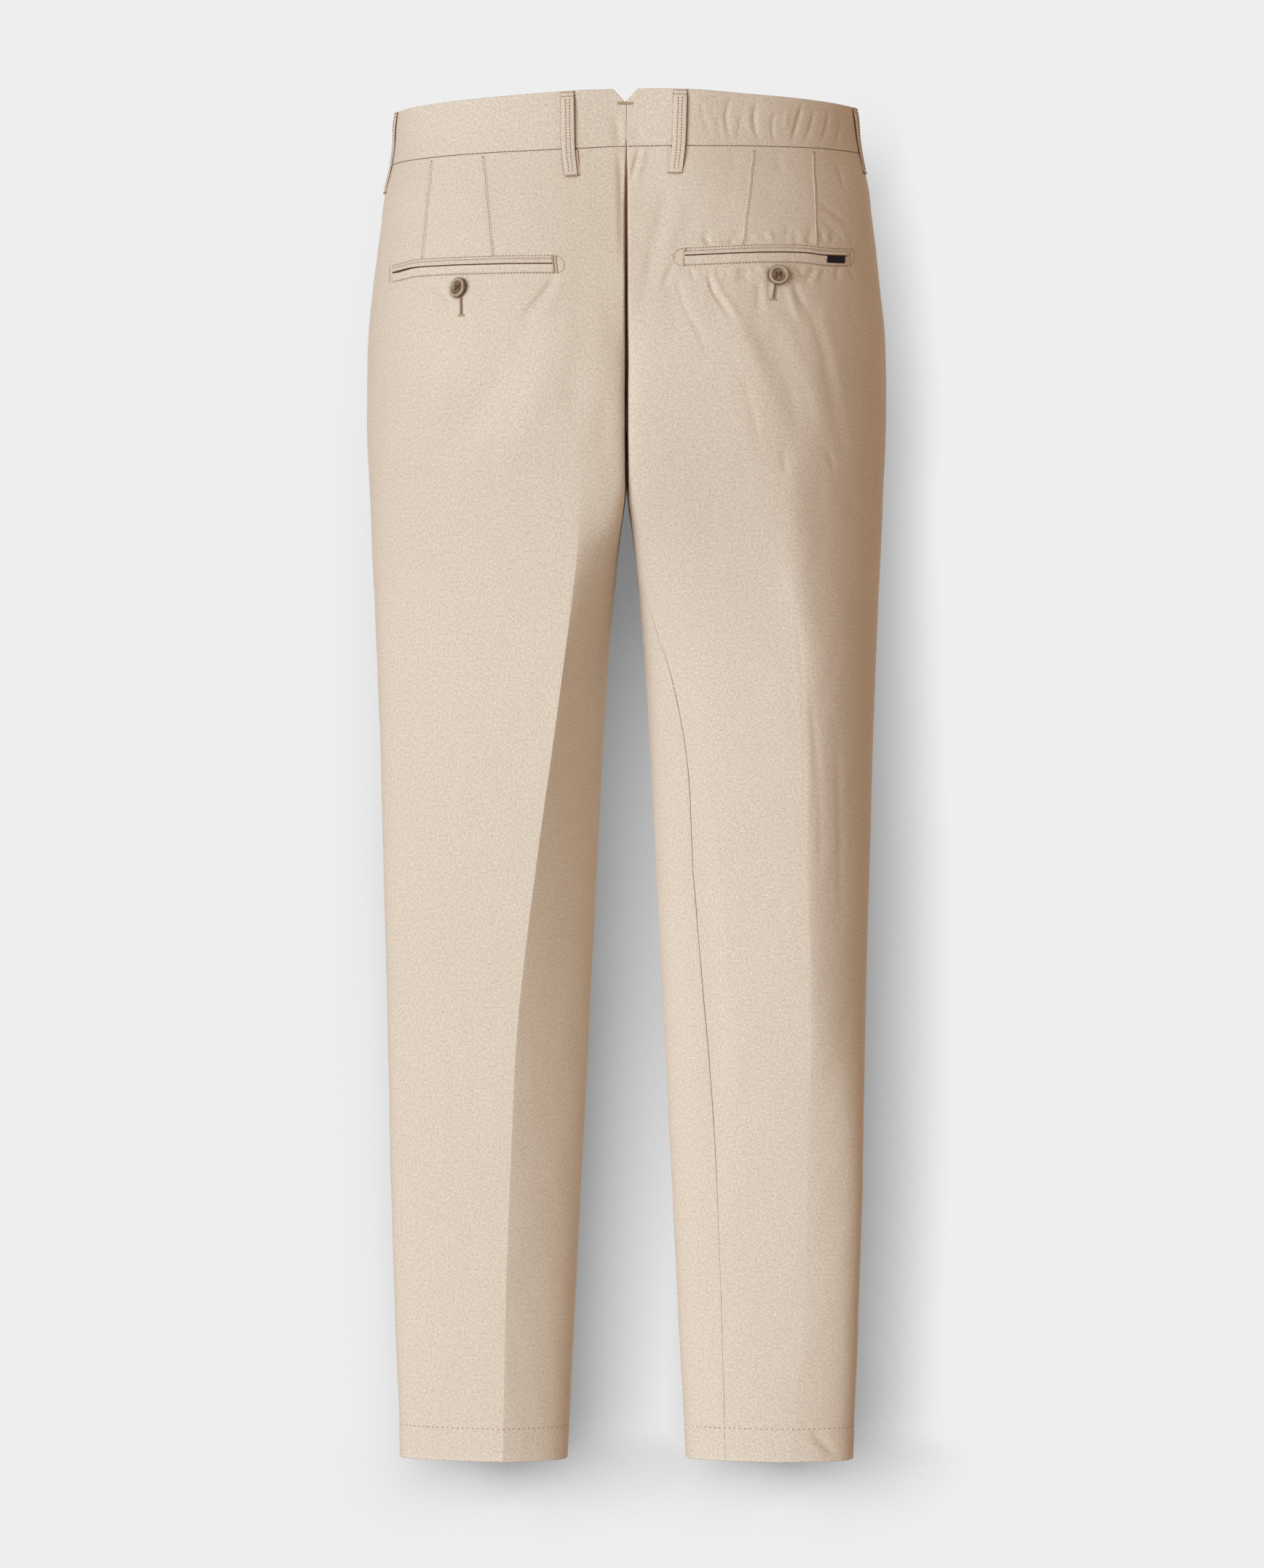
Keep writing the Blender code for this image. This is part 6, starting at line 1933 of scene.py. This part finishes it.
# ---------- Studio ----------

BACKGROUND = 0.855  # the pale background's linear value
SHADE_COLOUR = (0.325, 0.224, 0.152)  # what the room sends into the shaded side
KEY_STRENGTH, KEY_AZIMUTH, KEY_ELEVATION, KEY_ANGLE = 2.18, -36.0, 0.0, 44.0
KEY_COLOUR = (1.0, 1.12, 1.22)
FILL_STRENGTH, FILL_AZIMUTH, FILL_ELEVATION, FILL_COLOUR = 0.30, 78.0, 5.0, (1.0, 0.8, 0.62)
FRONT_STRENGTH, FRONT_AZIMUTH, FRONT_ELEVATION, FRONT_ANGLE = 1.6, 180.0, 25.0, 60.0
FLOOR_LEVEL_M, STAGE_RADIUS_M = -1.152, 6.0
BACKDROP_LINE_M = (  # the backdrop's (level, y), close behind the garment's front all the way down
    (FLOOR_LEVEL_M, 0.058),
    (-1.044, 0.059),
    (-0.813, 0.063),
    (-0.698, 0.068),
    (-0.583, 0.077),
    (-0.468, 0.088),
    (-0.382, 0.098),
    (-0.278, 0.111),
    (-0.158, 0.117),
    (STAGE_RADIUS_M, 0.117),
)
SHADOW_REACH_M, SHADOW_DARKEST = 0.089, 0.22
REACH_UNDER_HEMS = 1.3  # times as far just under the legs, which are open below
UNDER_HEMS = ((20, -12), (-95, -18))  # from the hem: where the longer reach comes in and goes out again
OPEN_FROM, OPEN_TO = 0.40, 0.95  # openness at which the shade is darkest, and at which there is none
FLOOR_LEAN, BACKDROP_LEAN = (-0.35, -0.1, 0.93), (-0.60, -0.42, 0.70)
FLOOR_REACH = 2  # times as far on the floor


def sun(name, strength, azimuth, elevation, angle, colour):
    """A sun that shines from an azimuth (0 is behind the wearer, positive to the wearer's right)."""
    light = bpy.data.lights.new(name, "SUN")
    light.energy = strength
    light.angle = math.radians(angle)
    light.color = colour
    lamp = bpy.data.objects.new(name, light)
    turn, rise = math.radians(azimuth), math.radians(elevation)
    source = Vector((math.sin(turn) * math.cos(rise), -math.cos(turn) * math.cos(rise), math.sin(rise)))
    lamp.rotation_euler = source.to_track_quat("Z", "Y").to_euler()
    bpy.context.scene.collection.objects.link(lamp)


def studio_world():
    """A pale background for the camera, and a weaker warm light from all round for the cloth."""
    world = bpy.data.worlds.new("studio")
    world.use_nodes = True
    bpy.context.scene.world = world
    nodes = Nodes(world.node_tree)
    shown = world.node_tree.nodes["Background"]
    shown.inputs[0].default_value = (BACKGROUND, BACKGROUND, BACKGROUND, 1)
    lit = nodes.add("ShaderNodeBackground", {0: (*SHADE_COLOUR, 1)})
    path = nodes.add("ShaderNodeLightPath")
    both = nodes.add("ShaderNodeMixShader")
    nodes.join(path.outputs["Is Camera Ray"], both.inputs[0])
    nodes.join(lit.outputs[0], both.inputs[1])
    nodes.join(shown.outputs[0], both.inputs[2])
    nodes.join(both.outputs[0], world.node_tree.nodes["World Output"].inputs[0])


def pale_surface(name, lean, reach):
    """The background's own pale tone, darkened softly where the garment shades it.

    The shade is the share of rays that meet the garment within a reach, taken round a direction that leans
    to the side where the light comes from. Just below the hems, whose legs are open, the reach is longer.
    Seen from behind the surface is clear.
    """
    made = bpy.data.materials.new(name)
    made.use_nodes = True
    tree = made.node_tree
    nodes = Nodes(tree)
    tree.nodes.remove(tree.nodes["Principled BSDF"])
    covered = nodes.add("ShaderNodeAmbientOcclusion", samples=SHADE_SAMPLES)
    place = nodes.add("ShaderNodeTexCoord")
    parted = nodes.add("ShaderNodeSeparateXYZ")
    nodes.join(place.outputs["Object"], parted.inputs[0])
    farther = []
    for start, end in UNDER_HEMS:
        band = {"From Min": (HEM + start) * MM, "From Max": (HEM + end) * MM}
        farther.append(nodes.add("ShaderNodeMapRange", band, interpolation_type="SMOOTHSTEP"))
        nodes.join(parted.outputs["Z"], farther[-1].inputs["Value"])
    longer = nodes.times(farther[0].outputs[0], farther[1].outputs[0])
    longer = nodes.times(longer, (REACH_UNDER_HEMS - 1) * reach)
    nodes.join(nodes.maths("ADD", longer, reach), covered.inputs["Distance"])
    leaning = nodes.add("ShaderNodeCombineXYZ", dict(enumerate(lean)))
    nodes.join(leaning.outputs[0], covered.inputs["Normal"])
    tones = {"To Min": BACKGROUND * SHADOW_DARKEST, "To Max": BACKGROUND}
    shade = nodes.add("ShaderNodeMapRange", {"From Min": OPEN_FROM, "From Max": OPEN_TO, **tones})
    nodes.join(covered.outputs["AO"], shade.inputs["Value"])
    glow = nodes.add("ShaderNodeEmission")
    nodes.join(shade.outputs[0], glow.inputs["Color"])
    clear = nodes.add("ShaderNodeBsdfTransparent")
    side = nodes.add("ShaderNodeNewGeometry")
    both = nodes.add("ShaderNodeMixShader")
    nodes.join(side.outputs["Backfacing"], both.inputs[0])
    nodes.join(glow.outputs[0], both.inputs[1])
    nodes.join(clear.outputs[0], both.inputs[2])
    nodes.join(both.outputs[0], tree.nodes["Material Output"].inputs[0])
    return made


def stage_piece(name, points, quads, material):
    """A piece of the stage that the camera sees and that sends no light."""
    made = build(name, np.array(points) / MM, [np.array(quads)], material)
    for ray in ("diffuse", "glossy", "transmission", "shadow"):
        setattr(made, f"visible_{ray}", False)


def studio_stage():
    """A pale floor just under the hems and a pale backdrop close behind the garment."""
    r, z = STAGE_RADIUS_M, FLOOR_LEVEL_M
    floor = ((-r, -r, z), (r, -r, z), (r, r, z), (-r, r, z))
    pale_floor = pale_surface("pale_floor", FLOOR_LEAN, FLOOR_REACH * SHADOW_REACH_M)
    stage_piece("studio_floor", floor, [[0, 1, 2, 3]], pale_floor)
    wall = [(side * r, y, level) for level, y in BACKDROP_LINE_M for side in (-1, 1)]
    quads = [[2 * i, 2 * i + 1, 2 * i + 3, 2 * i + 2] for i in range(len(BACKDROP_LINE_M) - 1)]
    pale_backdrop = pale_surface("pale_backdrop", BACKDROP_LEAN, SHADOW_REACH_M)
    stage_piece("studio_backdrop", wall, quads, pale_backdrop)


# The camera looks level along +Y at the middle of the garment.
CAMERA_AT_M = (0.0043, -5.0, -0.5123)
FRAME_ROWS, ROW_M = 2154, 0.000575  # the frame's long side, and what a row spans at the garment
SENSOR_MM = 36.0


def studio_camera():
    """A level camera whose frame spans its height at the garment's middle."""
    data = bpy.data.cameras.new("camera")
    data.sensor_fit = "AUTO"
    data.sensor_width = SENSOR_MM
    data.lens = SENSOR_MM * -CAMERA_AT_M[1] / (FRAME_ROWS * ROW_M)
    camera = bpy.data.objects.new("camera", data)
    camera.location = CAMERA_AT_M
    camera.rotation_euler = (math.pi / 2, 0, 0)
    bpy.context.scene.collection.objects.link(camera)
    bpy.context.scene.camera = camera


studio_world()
studio_stage()
studio_camera()
sun("key", KEY_STRENGTH, KEY_AZIMUTH, KEY_ELEVATION, KEY_ANGLE, KEY_COLOUR)
sun("fill", FILL_STRENGTH, FILL_AZIMUTH, FILL_ELEVATION, KEY_ANGLE, FILL_COLOUR)
sun("front", FRONT_STRENGTH, FRONT_AZIMUTH, FRONT_ELEVATION, FRONT_ANGLE, KEY_COLOUR)
bpy.context.scene.view_settings.view_transform = "Standard"
